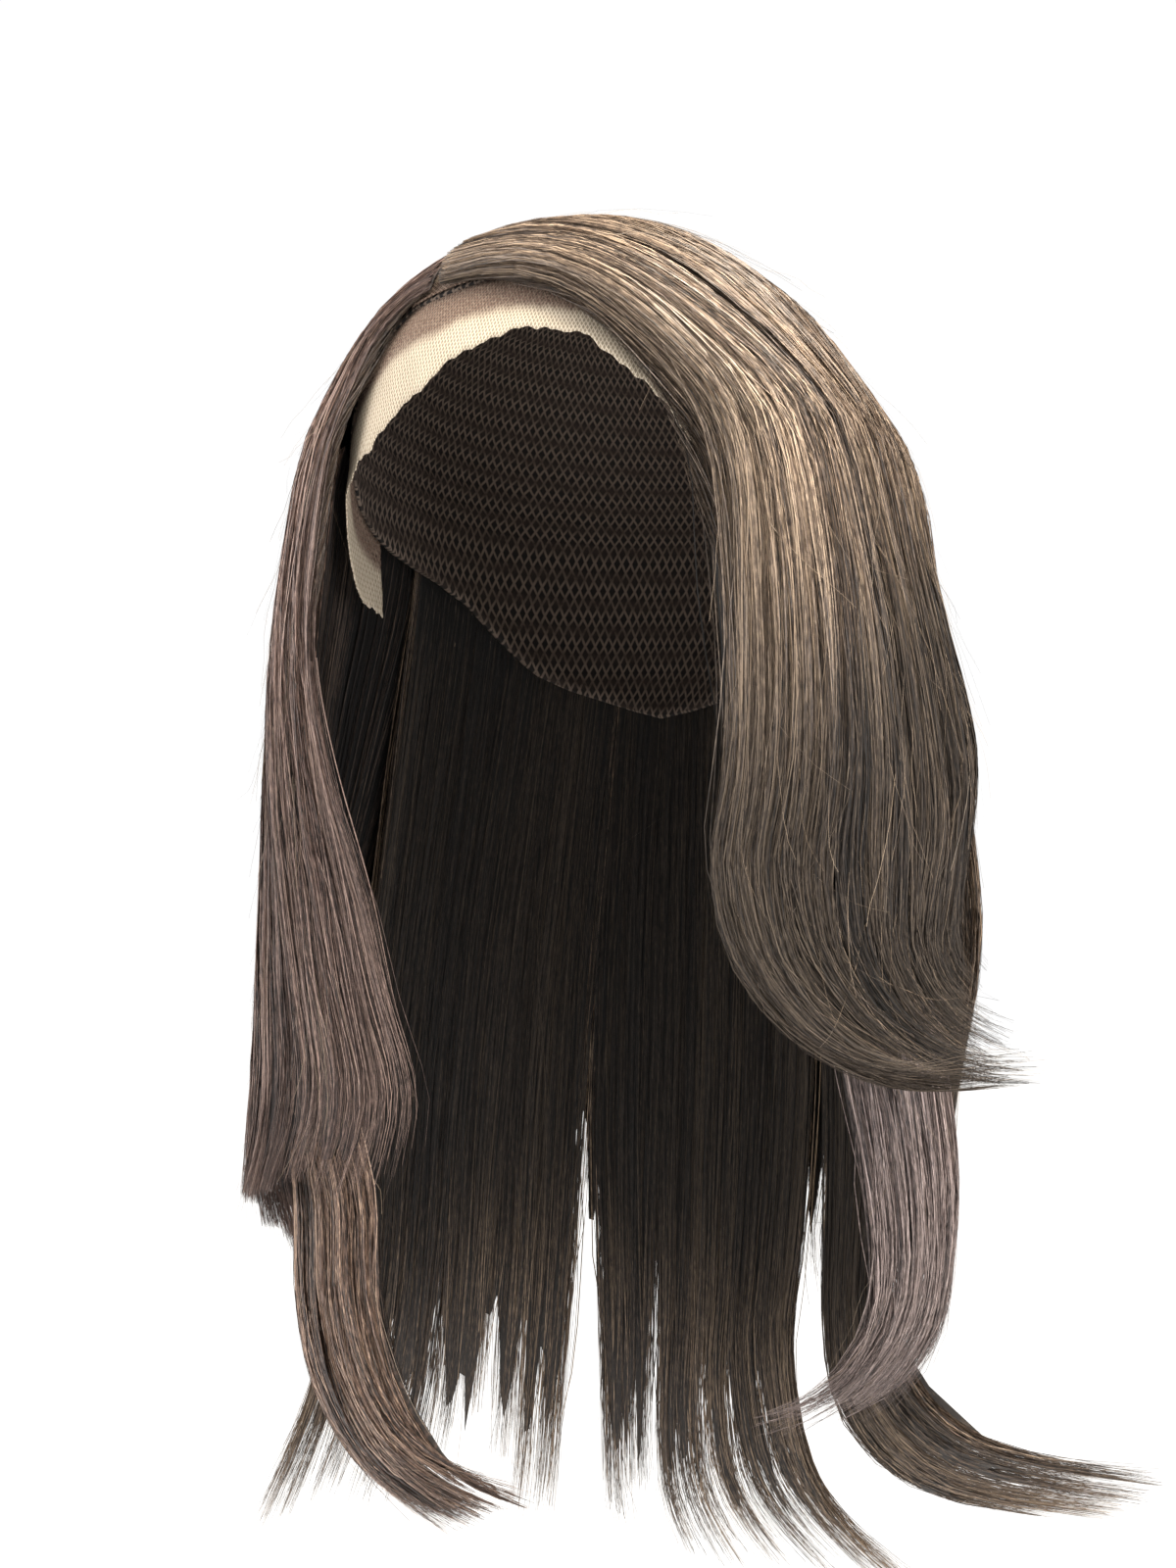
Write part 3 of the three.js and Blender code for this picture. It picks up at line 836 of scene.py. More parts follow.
@dataclass(frozen=True)
class HairFinish:
    """The colours and gloss of the hair of one layer."""

    name: str
    dark: Colour
    middle: Colour
    light: Colour
    roughness: float = 0.4
    streak: float = 0.55

    def material(self) -> bpy.types.Material:
        """Makes the layer's material on first use.

        Returns:
            The material.
        """
        known = bpy.data.materials.get(self.name)
        if known:
            return known
        graph = Graph.of_material(self.name)
        facts = {name: graph.attribute(name) for name in ("across", "along", "tone", "cover")}
        streaks = graph.group(
            hair_streaks(),
            Across=facts["across"],
            Along=facts["along"],
            Tone=facts["tone"],
            Cover=facts["cover"],
            Dark=(*self.dark, 1),
            Middle=(*self.middle, 1),
            Light=(*self.light, 1),
            Streak=self.streak,
            Roughness=self.roughness,
        )
        bump = graph.add("ShaderNodeBump", Strength=0.75, Distance=0.0005, Height=streaks.outputs["Height"])
        shader = graph.add(
            "ShaderNodeBsdfPrincipled",
            **{
                "Base Color": streaks.outputs["Color"],
                "Roughness": streaks.outputs["Roughness"],
                "Normal": bump.outputs["Normal"],
                "Specular IOR Level": 0.42,
            },
        )
        graph.output(shader)
        return graph.material


class Graph:
    """A tree of shader nodes being built, in a material or in a group."""

    def __init__(self, tree: bpy.types.NodeTree, material: bpy.types.Material | None = None) -> None:
        """Keeps the tree, and the material that it is in if there is one."""
        self.tree = tree
        self.material = material

    @classmethod
    def of_material(cls, name: str) -> "Graph":
        """Starts a new material.

        Args:
            name: The material's name.

        Returns:
            Its empty tree.
        """
        material = bpy.data.materials.new(name)
        material.use_nodes = True
        material.node_tree.nodes.clear()
        return cls(material.node_tree, material)

    def put(self, socket: bpy.types.NodeSocket, value: Any) -> None:
        """Links a socket to another one, or sets its own value.

        Args:
            socket: The socket to fill.
            value: The socket that feeds it, or its value.
        """
        if isinstance(value, bpy.types.NodeSocket):
            self.tree.links.new(value, socket)
        else:
            socket.default_value = value

    def add(self, kind: str, settings: dict[str, Any] | None = None, **inputs: Any) -> bpy.types.Node:
        """Adds a node.

        Args:
            kind: Its type's name.
            settings: Its own properties, by name.
            **inputs: What goes into its sockets, by the sockets' names.

        Returns:
            The node.
        """
        node = self.tree.nodes.new(kind)
        for name, value in (settings or {}).items():
            setattr(node, name, value)
        for name, value in inputs.items():
            self.put(node.inputs[name], value)
        return node

    def math(self, operation: str, *values: Any, clamped: bool = False) -> bpy.types.NodeSocket:
        """Adds a sum.

        Args:
            operation: The sum's name.
            *values: What goes into it: one, two or three numbers or sockets.
            clamped: Whether the outcome is held from 0 to 1.

        Returns:
            The outcome.
        """
        node = self.add("ShaderNodeMath", {"operation": operation, "use_clamp": clamped})
        for socket, value in zip(node.inputs, values, strict=False):
            self.put(socket, value)
        return node.outputs[0]

    def blend(self, share: Any, a: Any, b: Any, kind: str = "MIX") -> bpy.types.NodeSocket:
        """Blends two colours.

        Args:
            share: How far the outcome is on the way from a to b.
            a: The first colour.
            b: The second colour.
            kind: How they are blended.

        Returns:
            The outcome.
        """
        node = self.add("ShaderNodeMix", {"data_type": "RGBA", "blend_type": kind})
        for index, value in ((0, share), (6, a), (7, b)):
            self.put(node.inputs[index], value)
        return node.outputs[2]

    def grey(self, value: Any) -> bpy.types.NodeSocket:
        """Returns the grey that is as light as the value."""
        return self.add("ShaderNodeCombineColor", Red=value, Green=value, Blue=value).outputs[0]

    def ramp(self, value: Any, low: float, high: float) -> bpy.types.NodeSocket:
        """Adds a smooth rise from 0 to 1.

        Args:
            value: What it follows.
            low: The value where it starts.
            high: The value where it ends.

        Returns:
            The rise.
        """
        node = self.add("ShaderNodeMapRange", {"interpolation_type": "SMOOTHSTEP"}, Value=value)
        self.put(node.inputs["From Min"], low)
        self.put(node.inputs["From Max"], high)
        return node.outputs["Result"]

    def noise(self, across: Any, along: Any, forms: Pair) -> bpy.types.NodeSocket:
        """Adds noise over a surface.

        Args:
            across: Where across the surface, in millimetres.
            along: Where along it.
            forms: How many of the noise's forms there are to a millimetre each way.

        Returns:
            The noise, from 0 to 1.
        """
        x, y = self.math("MULTIPLY", across, forms[0]), self.math("MULTIPLY", along, forms[1])
        spot = self.add("ShaderNodeCombineXYZ", X=x, Y=y).outputs[0]
        return self.add("ShaderNodeTexNoise", Vector=spot, Scale=1.0, Detail=2.0).outputs["Fac"]

    def attribute(self, name: str) -> bpy.types.NodeSocket:
        """Returns a number that the mesh stores at each corner."""
        return self.add("ShaderNodeAttribute", {"attribute_name": name}).outputs["Fac"]

    def group(self, tree: bpy.types.NodeTree, **inputs: Any) -> bpy.types.Node:
        """Places a node group and returns its node."""
        return self.add("ShaderNodeGroup", {"node_tree": tree}, **inputs)

    def output(self, shader: bpy.types.Node) -> None:
        """Ends the material with this shader."""
        end = self.tree.nodes.new("ShaderNodeOutputMaterial")
        self.tree.links.new(shader.outputs[0], end.inputs["Surface"])


def new_group(
    name: str, inputs: dict[str, float | tuple[float, ...]], outputs: dict[str, str]
) -> tuple[Graph, bpy.types.Node, bpy.types.Node]:
    """Starts a shader node group.

    Args:
        name: The group's name.
        inputs: Its inputs by name, each with its usual value. A value of four numbers is a colour.
        outputs: Its outputs by name, each with the kind of its socket, Float or Color.

    Returns:
        The group's graph, its input node and its output node.
    """
    tree = bpy.data.node_groups.new(name, "ShaderNodeTree")
    for socket, value in inputs.items():
        kind = "NodeSocketColor" if isinstance(value, tuple) else "NodeSocketFloat"
        made = tree.interface.new_socket(name=socket, in_out="INPUT", socket_type=kind)
        made.default_value = value
    for socket, kind in outputs.items():
        tree.interface.new_socket(name=socket, in_out="OUTPUT", socket_type="NodeSocket" + kind)
    return Graph(tree), tree.nodes.new("NodeGroupInput"), tree.nodes.new("NodeGroupOutput")


def hair_streaks() -> bpy.types.NodeTree:
    """Makes the group that gives hair its streaks, its crimp and its gloss, on first use.

    Returns:
        The group, which also lays painted shade and painted glints on the hair.
    """
    known = bpy.data.node_groups.get("hair_streaks")
    if known:
        return known
    grey = (0.5, 0.5, 0.5, 1.0)
    graph, start, end = new_group(
        "hair_streaks",
        {
            "Across": 0.0,
            "Along": 0.0,
            "Tone": 0.5,
            "Cover": 1.0,
            "Dark": grey,
            "Middle": grey,
            "Light": grey,
            "Streak": 0.5,
            "Roughness": 0.4,
        },
        {"Color": "Color", "Roughness": "Float", "Height": "Float"},
    )
    given = start.outputs
    spot = (given["Across"], given["Along"])
    fibre = graph.noise(*spot, FIBRE)
    band = graph.noise(*spot, BAND)
    shift = graph.math("MULTIPLY", graph.math("SUBTRACT", fibre, 0.5), given["Streak"])
    drift = graph.math("MULTIPLY", graph.math("SUBTRACT", band, 0.5), BAND_TONE)
    # Flecks: short light and dark dashes along the crimp, partly random tone and partly painted glints
    fleck = graph.noise(*spot, FLECK)
    glint = graph.math("MULTIPLY", graph.math("SUBTRACT", fleck, 0.5), FLECK_AND_GLINT_TONE)
    tone = graph.math("ADD", graph.math("ADD", given["Tone"], shift), graph.math("ADD", drift, glint))
    deep = graph.blend(graph.ramp(tone, *DARK_TONES), given["Dark"], given["Middle"])
    colour = graph.blend(graph.ramp(tone, *LIGHT_TONES), deep, given["Light"])
    # Painted shade: the colour is darkened where Cover is low, on buried, grooved and inside hair
    painted_shading = graph.math("MULTIPLY_ADD", given["Cover"], 1 - BURIED_LIGHT, BURIED_LIGHT)
    painted_shaded_colour = graph.blend(1.0, colour, graph.grey(painted_shading), "MULTIPLY")
    crimp = graph.noise(*spot, CRIMP)
    height = graph.math("ADD", fibre, graph.math("MULTIPLY", crimp, CRIMP_HEIGHT))
    buried = graph.math("SUBTRACT", 1.0, given["Cover"], clamped=True)
    smoothest = graph.math("SUBTRACT", given["Roughness"], CRIMP_DULLNESS / 2)
    dull = graph.math("ADD", smoothest, graph.math("MULTIPLY", buried, BURIED_DULLNESS))
    rough = graph.math("MULTIPLY_ADD", crimp, CRIMP_DULLNESS, dull)
    graph.put(end.inputs["Color"], painted_shaded_colour)
    graph.put(end.inputs["Roughness"], rough)
    graph.put(end.inputs["Height"], height)
    return graph.tree


def net_weave() -> bpy.types.NodeTree:
    """Makes the group that draws a net's threads and holes, on first use.

    Returns:
        The group.
    """
    known = bpy.data.node_groups.get("net_weave")
    if known:
        return known
    graph, start, end = new_group(
        "net_weave",
        {"Across": 0.0, "Along": 0.0, "Pitch": 1.0, "Uneven": 0.3},
        {"Thread": "Float", "Height": "Float", "Mottle": "Float"},
    )
    given = start.outputs
    mottle = graph.noise(given["Across"], given["Along"], MOTTLE)
    pull = graph.math("MULTIPLY", graph.math("MULTIPLY", mottle, given["Uneven"]), given["Pitch"])
    lines = []
    for slope in (WEAVE_SLANT, -WEAVE_SLANT):
        slant = graph.math("MULTIPLY_ADD", given["Along"], slope, given["Across"])
        turn = graph.math("DIVIDE", graph.math("ADD", slant, pull), given["Pitch"])
        lines.append(graph.math("ABSOLUTE", graph.math("SINE", graph.math("MULTIPLY", turn, math.pi))))
    thread = graph.math("SUBTRACT", 1.0, graph.ramp(graph.math("MINIMUM", *lines), *THREAD_EDGES))
    graph.put(end.inputs["Thread"], thread)
    graph.put(end.inputs["Height"], thread)
    graph.put(end.inputs["Mottle"], mottle)
    return graph.tree


@dataclass(frozen=True)
class NetFinish:
    """The colours and threads of a net or lace."""

    name: str
    thread: Colour
    hole: Colour
    rooted: Colour
    pitch: float
    openness: float
    roughness: float = 0.85

    def material(self) -> bpy.types.Material:
        """Makes the net's material on first use.

        Returns:
            The material.
        """
        known = bpy.data.materials.get(self.name)
        if known:
            return known
        graph = Graph.of_material(self.name)
        across, along, rooted = (graph.attribute(name) for name in ("across", "along", "cover"))
        weave = graph.group(net_weave(), Across=across, Along=along, Pitch=self.pitch, Uneven=0.5)
        colour = graph.blend(weave.outputs["Thread"], (*self.hole, 1), (*self.thread, 1))
        speckle = graph.noise(across, along, SPECKLE)
        share = graph.math("MULTIPLY", rooted, graph.math("MULTIPLY_ADD", speckle, 0.9, 0.45))
        colour = graph.blend(share, colour, (*self.rooted, 1))
        soft = graph.math("MULTIPLY_ADD", weave.outputs["Mottle"], 0.2, 0.9)
        colour = graph.blend(1.0, colour, graph.grey(soft), "MULTIPLY")
        hole = graph.math("SUBTRACT", 1.0, weave.outputs["Thread"])
        alpha = graph.math("SUBTRACT", 1.0, graph.math("MULTIPLY", hole, self.openness))
        bump = graph.add("ShaderNodeBump", Strength=0.4, Distance=0.0002, Height=weave.outputs["Height"])
        shader = graph.add(
            "ShaderNodeBsdfPrincipled",
            **{
                "Base Color": colour,
                "Roughness": self.roughness,
                "Alpha": alpha,
                "Normal": bump.outputs["Normal"],
                "Specular IOR Level": 0.3,
            },
        )
        graph.output(shader)
        return graph.material


def finish_piece(
    piece: bpy.types.Object, material: bpy.types.Material, slot: str, *nodes: str
) -> bpy.types.Object:
    """Dresses a piece and ties it to the frame.

    Args:
        piece: The piece.
        material: Its material.
        slot: The record's slot for its finish; not used.
        *nodes: The CAD nodes that it stands for, if there are any.

    Returns:
        The same piece.
    """
    piece.data.materials.append(material)
    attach(piece, "root")
    if nodes:
        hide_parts(*nodes)
    LOG.info("made %s: %d triangles", piece.name, len(piece.data.loops) - 2 * len(piece.data.polygons))
    return piece


@dataclass
class HairLayer:
    """One layer of hair: a groomed mass and the strands that lie over it.

    Attributes:
        name: The CAD node's name.
        reach: The azimuths of its two edges at the widest level.
        drawn: The azimuths of the same edges where the ends begin to turn.
        stack: Which layer of thickness it lies in.
        root: The level that it is rooted at, or None at the parting.
        fall: Where its ends begin to turn, as a share of HAIR_DROP.
        radius: The radius of that turn, as a share of HAIR_DROP.
        turn: Through how many degrees its ends turn.
        heading: The azimuth that they turn towards.
        strands: How many strands lie over it.
        steps: How many stretches each strand has.
        finish: Its colours.
        seed: What its random draws start from.
        tail: What runs on straight after the turn, as a share of HAIR_DROP.
        flare: How far it stands off its stack before the turn, as a share of its thickness.
        tuck: How far its face edge is seated on what is below, as a share of the middle stack.
        tip: How many times TIP_THICKNESS its ends measure.
        ends: How its ends are cut.
        joined: Whether its first and its last edge run on into the next layer.
        painted_fade: How light its roots and its ends are painted against its finish: painted light and
            shade.
        lift: How far the highest strands stand off the mass, in millimetres.
        inside_share: The share of the strands that lie on the layer's inside.
        start_low: The share of the strands that come out of the mass below the roots.
        gather: How far the strands draw together into locks at their ends, from 0 to 1.
        spill: How far the strands beside the face fan out past the last edge, as a share of its width.
        fluff: How far the ends stand off one another, in millimetres.
        loose: How far the strands reach past its two edges, as a share of its width.
        form: The head that it hangs round.
        columns: How many columns its grid has.
        rows: How many points each of them has.
        margin: How far the grid reaches past its two edges, as a share of its width.
    """

    name: str
    reach: Pair
    drawn: Pair
    stack: Stack
    root: float | None
    fall: Pair
    radius: Pair
    turn: Pair
    heading: Pair
    strands: int
    steps: int
    finish: HairFinish
    seed: int
    tail: Pair = (0, 0)
    flare: Pair = (0, 0)
    tuck: float = 0
    tip: float = 1
    ends: Ends = Ends.FEATHERED
    joined: tuple[bool, bool] = (False, False)
    painted_fade: Pair = (1.0, 1.0)
    lift: float = 0.3
    inside_share: float = 0.14
    start_low: float = 0.2
    gather: float = 0.62
    spill: float = 0.0
    fluff: float = 2.2
    loose: float = 0.012
    form: Form = field(default_factory=Form)
    columns: int = 97
    rows: int = 141
    margin: float = 0.05

    def from_face(self, across: Floats) -> Floats:
        """Finds how far places are from the layer's face edge.

        Args:
            across: Shares of the layer's width.

        Returns:
            The distances as shares of the width, or 1 for a layer that isn't seated beside the face.
        """
        if not self.tuck:
            return np.ones_like(across)
        return 1 - across if self.reach[1] == LAST_AZIMUTH else across

    def places(self, across: Floats) -> Floats:
        """Finds the places that strands on the layer's inside run through, before they are smoothed.

        Args:
            across: Where across the layer each strand is, as shares of its width.

        Returns:
            The places, with the first axis along the strands.
        """
        form = self.form
        azimuth = mix(*self.reach, across)
        eased = smooth(across)
        pairs = (self.fall, self.radius, self.turn, self.heading, self.tail, self.flare)
        fall, radius, turn, heading, tail, flare = (mix(*pair, eased) for pair in pairs)
        from_face = self.from_face(across)
        tuck = self.tuck * Stack.MIDDLE.value * (1 - smooth(from_face / TUCK_SHARE))

        def seat(z: Any) -> Floats:
            """Finds how far off the head or the curtain the layer's inside lies.

            Args:
                z: The height.

            Returns:
                The distance.
            """
            level = form.level_of(z)
            inner = form.stack_of(self.stack, level, azimuth)[0]
            return inner - tuck * smooth((CROWN_LEVEL - level) / CROWN_LEVEL)

        def on_head(direction: Floats) -> Floats:
            """Returns the places of the layer's inside on the head."""
            return form.head_point(direction, seat(form.head_point(direction, 0.0)[..., 2]))

        made = []
        if self.root is None:
            start, rim = form.parting_root(azimuth), towards(azimuth, 90.0)
            face = 1 - smooth(from_face / SWOOP_SHARE)
            for i in range(CROWN_STEPS):
                share = (i / CROWN_STEPS) ** ROW_CROWDING
                d = sweep(start, rim, share)
                d[..., 2] += SWOOP_BULGE * face * math.sin(math.pi * share)
                made.append(on_head(d))
        elif self.root > 0:
            top = 90 - math.degrees(math.asin(self.root))
            made += [on_head(towards(azimuth, mix(top, 90, i / ROOT_STEPS))) for i in range(ROOT_STEPS)]
        steps = max(3, round(float(np.mean(self.fall)) / DROP_STEP))
        for i in range(steps + 1):
            drop = fall * i / steps
            free = smooth((drop - FREE_DROP) / FREE_STRETCH)
            drawn = mix(azimuth, mix(*self.drawn, across), (i / steps) ** 2)
            thickness = form.stack_of(self.stack, -drop, azimuth)[1]
            height = -form.crown_height - drop * HAIR_DROP
            made.append(form.curtain_point(drawn, drop, seat(height) + flare * thickness * free))
        end, way = made[-1], towards(heading, 90.0)
        bend, arc = radius * HAIR_DROP, np.radians(turn)
        down = np.array([0.0, 0.0, -1.0])
        arc_steps = max(2, round(float(np.mean(self.turn)) / TURN_STEP))
        for i in range(1, arc_steps + 1):
            angle = arc * i / arc_steps
            out, below = bend * (1 - np.cos(angle)), bend * np.sin(angle)
            made.append(end + way * out[:, None] + down * below[:, None])
        if max(self.tail) > 0:
            run = (tail * HAIR_DROP + 1.0)[:, None]
            made.append(made[-1] + run * (way * np.sin(arc)[:, None] + down * np.cos(arc)[:, None]))
        return np.stack(made)

    def flow(self) -> Flow:
        """Lays the layer's grid.

        Returns:
            The grid, with its thickness.
        """
        across = np.linspace(-self.margin, 1 + self.margin, self.columns)
        flow = Flow.through(self.places(across), self.rows, self.margin)
        if self.root is None:
            from_face = self.from_face(across)
            height = self.form.level_of(flow.places[..., 2])
            near = smooth((EASED_LEVELS[1] - height) / EASED_STRETCHES[1])
            near = near * smooth((height - EASED_LEVELS[0]) / EASED_STRETCHES[0])
            for ease in EASES:
                share = smooth((from_face - ease.start) / (ease.end - ease.start))[:, None]
                flow.ease(ease.reach, near * share)
        share = np.linspace(0, 1, self.rows)[None, :]
        azimuth = np.broadcast_to(mix(*self.reach, across)[:, None], flow.thickness.shape)
        level = self.form.level_of(flow.places[..., 2])
        full = self.form.stack_of(self.stack, level, azimuth)[1]
        tip = TIP_THICKNESS * self.tip
        thick = np.minimum(full, mix(tip, full, smooth((1 - share) / END_SHARE)))
        rounding = 1.0
        for edge, joined in ((across, self.joined[0]), (1 - across, self.joined[1])):
            side = mix(SIDE_THINNESS, 1, np.sqrt(np.clip(edge / SIDE_SHARE, 0, 1)))[:, None]
            apart = smooth((share - PARTED_FROM) / PARTED_STRETCH) if joined else 1.0
            rounding = rounding * mix(1.0, side, apart)
        flow.thickness = thick * mix(ROOT_THINNESS, 1, smooth(share / ROOT_SHARE)) * rounding
        return flow

    def painted_shading(self, across: Floats, along: Floats) -> Floats:
        """Finds how light the hair is, which is darker at a parting and beside the face.

        Args:
            across: Shares of the layer's width.
            along: Shares of its length.

        Returns:
            The painted light and shade against the layer's finish: its painted fade from root to end, and
            the painted shade at a parting and beside the face.
        """
        light = mix(*self.painted_fade, smooth((along - FADE_FROM) / FADE_STRETCH))
        if self.root is None:
            light = light * mix(ROOT_SHADE, 1.0, smooth(along / ROOT_SHADE_REACH))
        upper = 1 - smooth((along - FACE_SHADE_END) / FACE_SHADE_STRETCH)
        beside = mix(FACE_SHADE, 1.0, smooth(self.from_face(across) / FACE_SHADE_REACH))
        return light * mix(1.0, beside, upper)

    def relief(self, across: Floats, along: Floats, length: float) -> Floats:
        """Finds how deep the grooves between locks are.

        Args:
            across: Shares of the layer's width.
            along: Shares of its length.
            length: The layer's width in millimetres, which its locks divide.

        Returns:
            The depths in millimetres.
        """
        rng = np.random.default_rng(self.seed + 7)
        depth = np.zeros(np.broadcast(across, along).shape)
        for ridge in RIDGES:
            phase, slow, wave = rng.uniform(0, 1, 3)
            count = length / ridge.width
            sway = ridge.drift * np.sin(2 * math.pi * (along * (0.7 + wave) + slow + across * count * 0.13))
            uneven = 0.6 * np.sin(2 * math.pi * (across * count * 0.37 + wave))
            groove = 1 - np.abs(np.sin(math.pi * (across * count + phase + 0.35 * sway + 0.4 * uneven)))
            depth += ridge.depth * groove**2
        return depth * smooth(along / 0.1)

    def locks(self, width: float) -> Floats:
        """Finds where across the layer its locks gather.

        Args:
            width: The layer's width in millimetres.

        Returns:
            The places, as shares of its width.
        """
        count = max(5, int(width / LOCK_WIDTH))
        rng = np.random.default_rng(self.seed + 3)
        return (np.arange(count) + rng.uniform(0.1, 0.9, count)) / count

    def mass(self, flow: Flow) -> bpy.types.Object:
        """Builds the groomed mass under the strands.

        Args:
            flow: The layer's grid.

        Returns:
            The piece.
        """
        rng = np.random.default_rng(self.seed + 1)
        width = float(flow.girth[:, self.rows // 2].mean())
        columns = max(24, int(width / MASS_PITCH))
        cut = self.ends.value
        across = np.linspace(MASS_INSET, 1 - MASS_INSET, columns)[:, None]
        centres = self.locks(width)
        apart = np.abs(across - centres).min(1) * 2 * len(centres)
        apart = apart + rng.uniform(-NOTCH_SPREAD, NOTCH_SPREAD, columns)
        end = cut.mass_end - cut.mass_notch * np.clip(apart, 0, NOTCH_LIMIT)
        along = flow.knots(MASS_STRETCHES, MASS_EVENNESS)[None, :] * end[:, None]
        places = flow.read(flow.places, across + 0 * along, along + 0 * across)
        normals = unit(flow.read(flow.normals, across + 0 * along, along + 0 * across))
        thick = flow.read(flow.thickness, across + 0 * along, along + 0 * across)
        taper = mix(cut.mass_tip, 1.0, smooth((end[:, None] - along) / cut.mass_taper))
        groove = np.minimum(self.relief(across, along, width), GROOVE_SHARE * thick)
        rim = mix(RIM_THINNESS, 1.0, np.clip(np.minimum(across, 1 - across) / RIM_SHARE, 0, 1))
        sunk = mix(*MASS_SUNK, smooth((along - HANGING_FROM) / HANGING_STRETCH))
        top = np.maximum(thick - groove - sunk, MASS_LEAST * thick) * taper * rim
        low = np.minimum(UNDERSIDE_SHARE * thick, UNDERSIDE_LIMIT)
        top = np.maximum(top, low + LEAST_WALL)
        outer = places + normals * top[..., None]
        inner = places + normals * low[..., None]
        piece = wall(self.name + ".mass", outer, inner)
        run = along * flow.lengths.mean()
        side = across * width + 0 * along
        # Painted shade: the mass is painted darker than the strands over it, in its grooves and on its
        # inside
        tone = MASS_TONE - GROOVE_PAINTED_SHADE_TONE * groove
        cover = (MASS_PAINTED_LIGHT - GROOVE_PAINTED_SHADE * groove) * self.painted_shading(across, along)
        under = mix(INSIDE_PAINTED_LIGHT, 0.7 * cover, smooth((along - LIT_FROM) / LIT_STRETCH))
        give(
            piece,
            across=np.concatenate([side.ravel(), side.ravel() + INSIDE_SHIFT]),
            along=np.concatenate([run.ravel(), run.ravel()]),
            tone=np.concatenate([tone.ravel(), INSIDE_PAINTED_SHADE_TONE + 0 * tone.ravel()]),
            cover=np.concatenate([cover.ravel(), under.ravel()]),
        )
        return finish_piece(piece, self.finish.material(), "hair", self.name)

    def comb(self, flow: Flow, count: int, rng: np.random.Generator) -> Strands:
        """Lays strands along the layer's flow, gathered into locks towards their ends.

        Args:
            flow: The layer's grid.
            count: How many strands there are.
            rng: Where the random draws come from.

        Returns:
            The strands.
        """
        width = float(flow.girth[:, self.rows // 2].mean())
        home = (np.arange(count) + rng.uniform(0, 1, count)) / count
        home = mix(-self.loose, 1 + self.loose, home)
        rng.shuffle(home)
        centres = self.locks(width)
        locks = len(centres)
        picked = rng.normal(0, LOCK_PICK / locks, (count, 1))
        chosen = np.abs(home[:, None] - centres + picked).argmin(1)
        cut = self.ends.value
        lock_end = 1 - np.abs(rng.normal(0, cut.lock_spread, locks))
        end = lock_end[chosen] - np.abs(rng.normal(0, cut.strand_spread, count))
        fan = self.spill * rng.uniform(0, 1, count) ** 1.4 * smooth((home - 0.8) / 0.18)
        end = end - fan * rng.uniform(0, 2.2, count)
        low = rng.uniform(0, 1, count) < self.start_low
        start = np.where(low, rng.uniform(*LOW_STARTS, count), rng.uniform(*ROOT_STARTS, count))
        knots = flow.knots(self.steps, STRAND_EVENNESS)
        slip = rng.uniform(-KNOT_SLIP, KNOT_SLIP, (count, 1)) * np.gradient(knots) * np.sin(math.pi * knots)
        along = start[:, None] + (end - start)[:, None] * (knots + slip)

        pull = self.gather * (smooth((along - 0.5) / 0.5) ** 1.3 + 0.3 * smooth(along / 0.4))
        inwards = (centres[chosen] - home)[:, None]
        across = home[:, None] + inwards * pull * rng.uniform(0.5, 1.05, (count, 1))
        across = across + fan[:, None] * smooth((along - 0.3) / 0.4)
        girth = np.maximum(flow.read(flow.girth, across, along), 0.3 * width)
        stray = np.where(rng.uniform(0, 1, count) < LOOSE_SHARE, LOOSE_REACH, WAVE_REACH)[:, None]
        for turns in WAVES:
            phase = rng.uniform(0, 2 * math.pi, (count, 1))
            wave = np.sin(2 * math.pi * turns * rng.uniform(0.7, 1.3, (count, 1)) * along + phase)
            across = across + stray / turns * wave / girth * smooth(along / 0.15)

        thick = flow.read(flow.thickness, across, along)
        inside = rng.uniform(0, 1, count) < self.inside_share
        share = rng.uniform(0, 1, (count, 1))
        rise = rng.uniform(-SUNK_DEPTH, self.lift, (count, 1))
        turns = along * rng.uniform(1, 2.4, (count, 1)) + rng.uniform(0, 1, (count, 1))
        rise = rise + 0.3 * np.sin(2 * math.pi * turns)
        groove = np.minimum(self.relief(across, along, width), GROOVE_SHARE * thick)
        surface = thick - groove + rise
        risen = smooth((along - start[:, None]) / LOW_STRETCH)
        surface = surface - np.where(low, LOW_DEPTH, 0.0)[:, None] * (1 - risen)
        edge = np.clip(np.minimum(across + 0.01, 1.01 - across) / 0.035, 0, 1)
        if all(self.joined):
            edge = np.ones_like(edge)
        deep = np.maximum(smooth((along - SPREAD_FROM) / SPREAD_STRETCH), 1 - edge)
        height = mix(surface, (1 - share**2) * thick, deep)
        within = share * 0.9 + 0.2 * thick * smooth((along - 0.6) / 0.4)
        height = np.where(inside[:, None], within, height)
        scatter = smooth((along - FLUFF_FROM) / FLUFF_STRETCH) ** 1.5
        height = height + rng.normal(0, self.fluff, (count, 1)) * scatter
        height = np.maximum(height, LEAST_HEIGHT)

        line = flow.read(flow.places, across, along)
        normal = unit(flow.read(flow.normals, across, along))
        line = line + normal * height[..., None]
        half_width = rng.uniform(*HALF_WIDTHS, (count, 1))
        tips = mix(0.28, 1.0, smooth((end[:, None] - along) / 0.16))
        radius = half_width * tips * mix(0.7, 1.0, smooth((along - start[:, None]) / 0.1))
        lock_tone = rng.normal(0, LOCK_TONES, locks)[chosen]
        tone = np.clip(0.5 + lock_tone + rng.normal(0, STRAND_TONES, count), 0.0, 1.1)
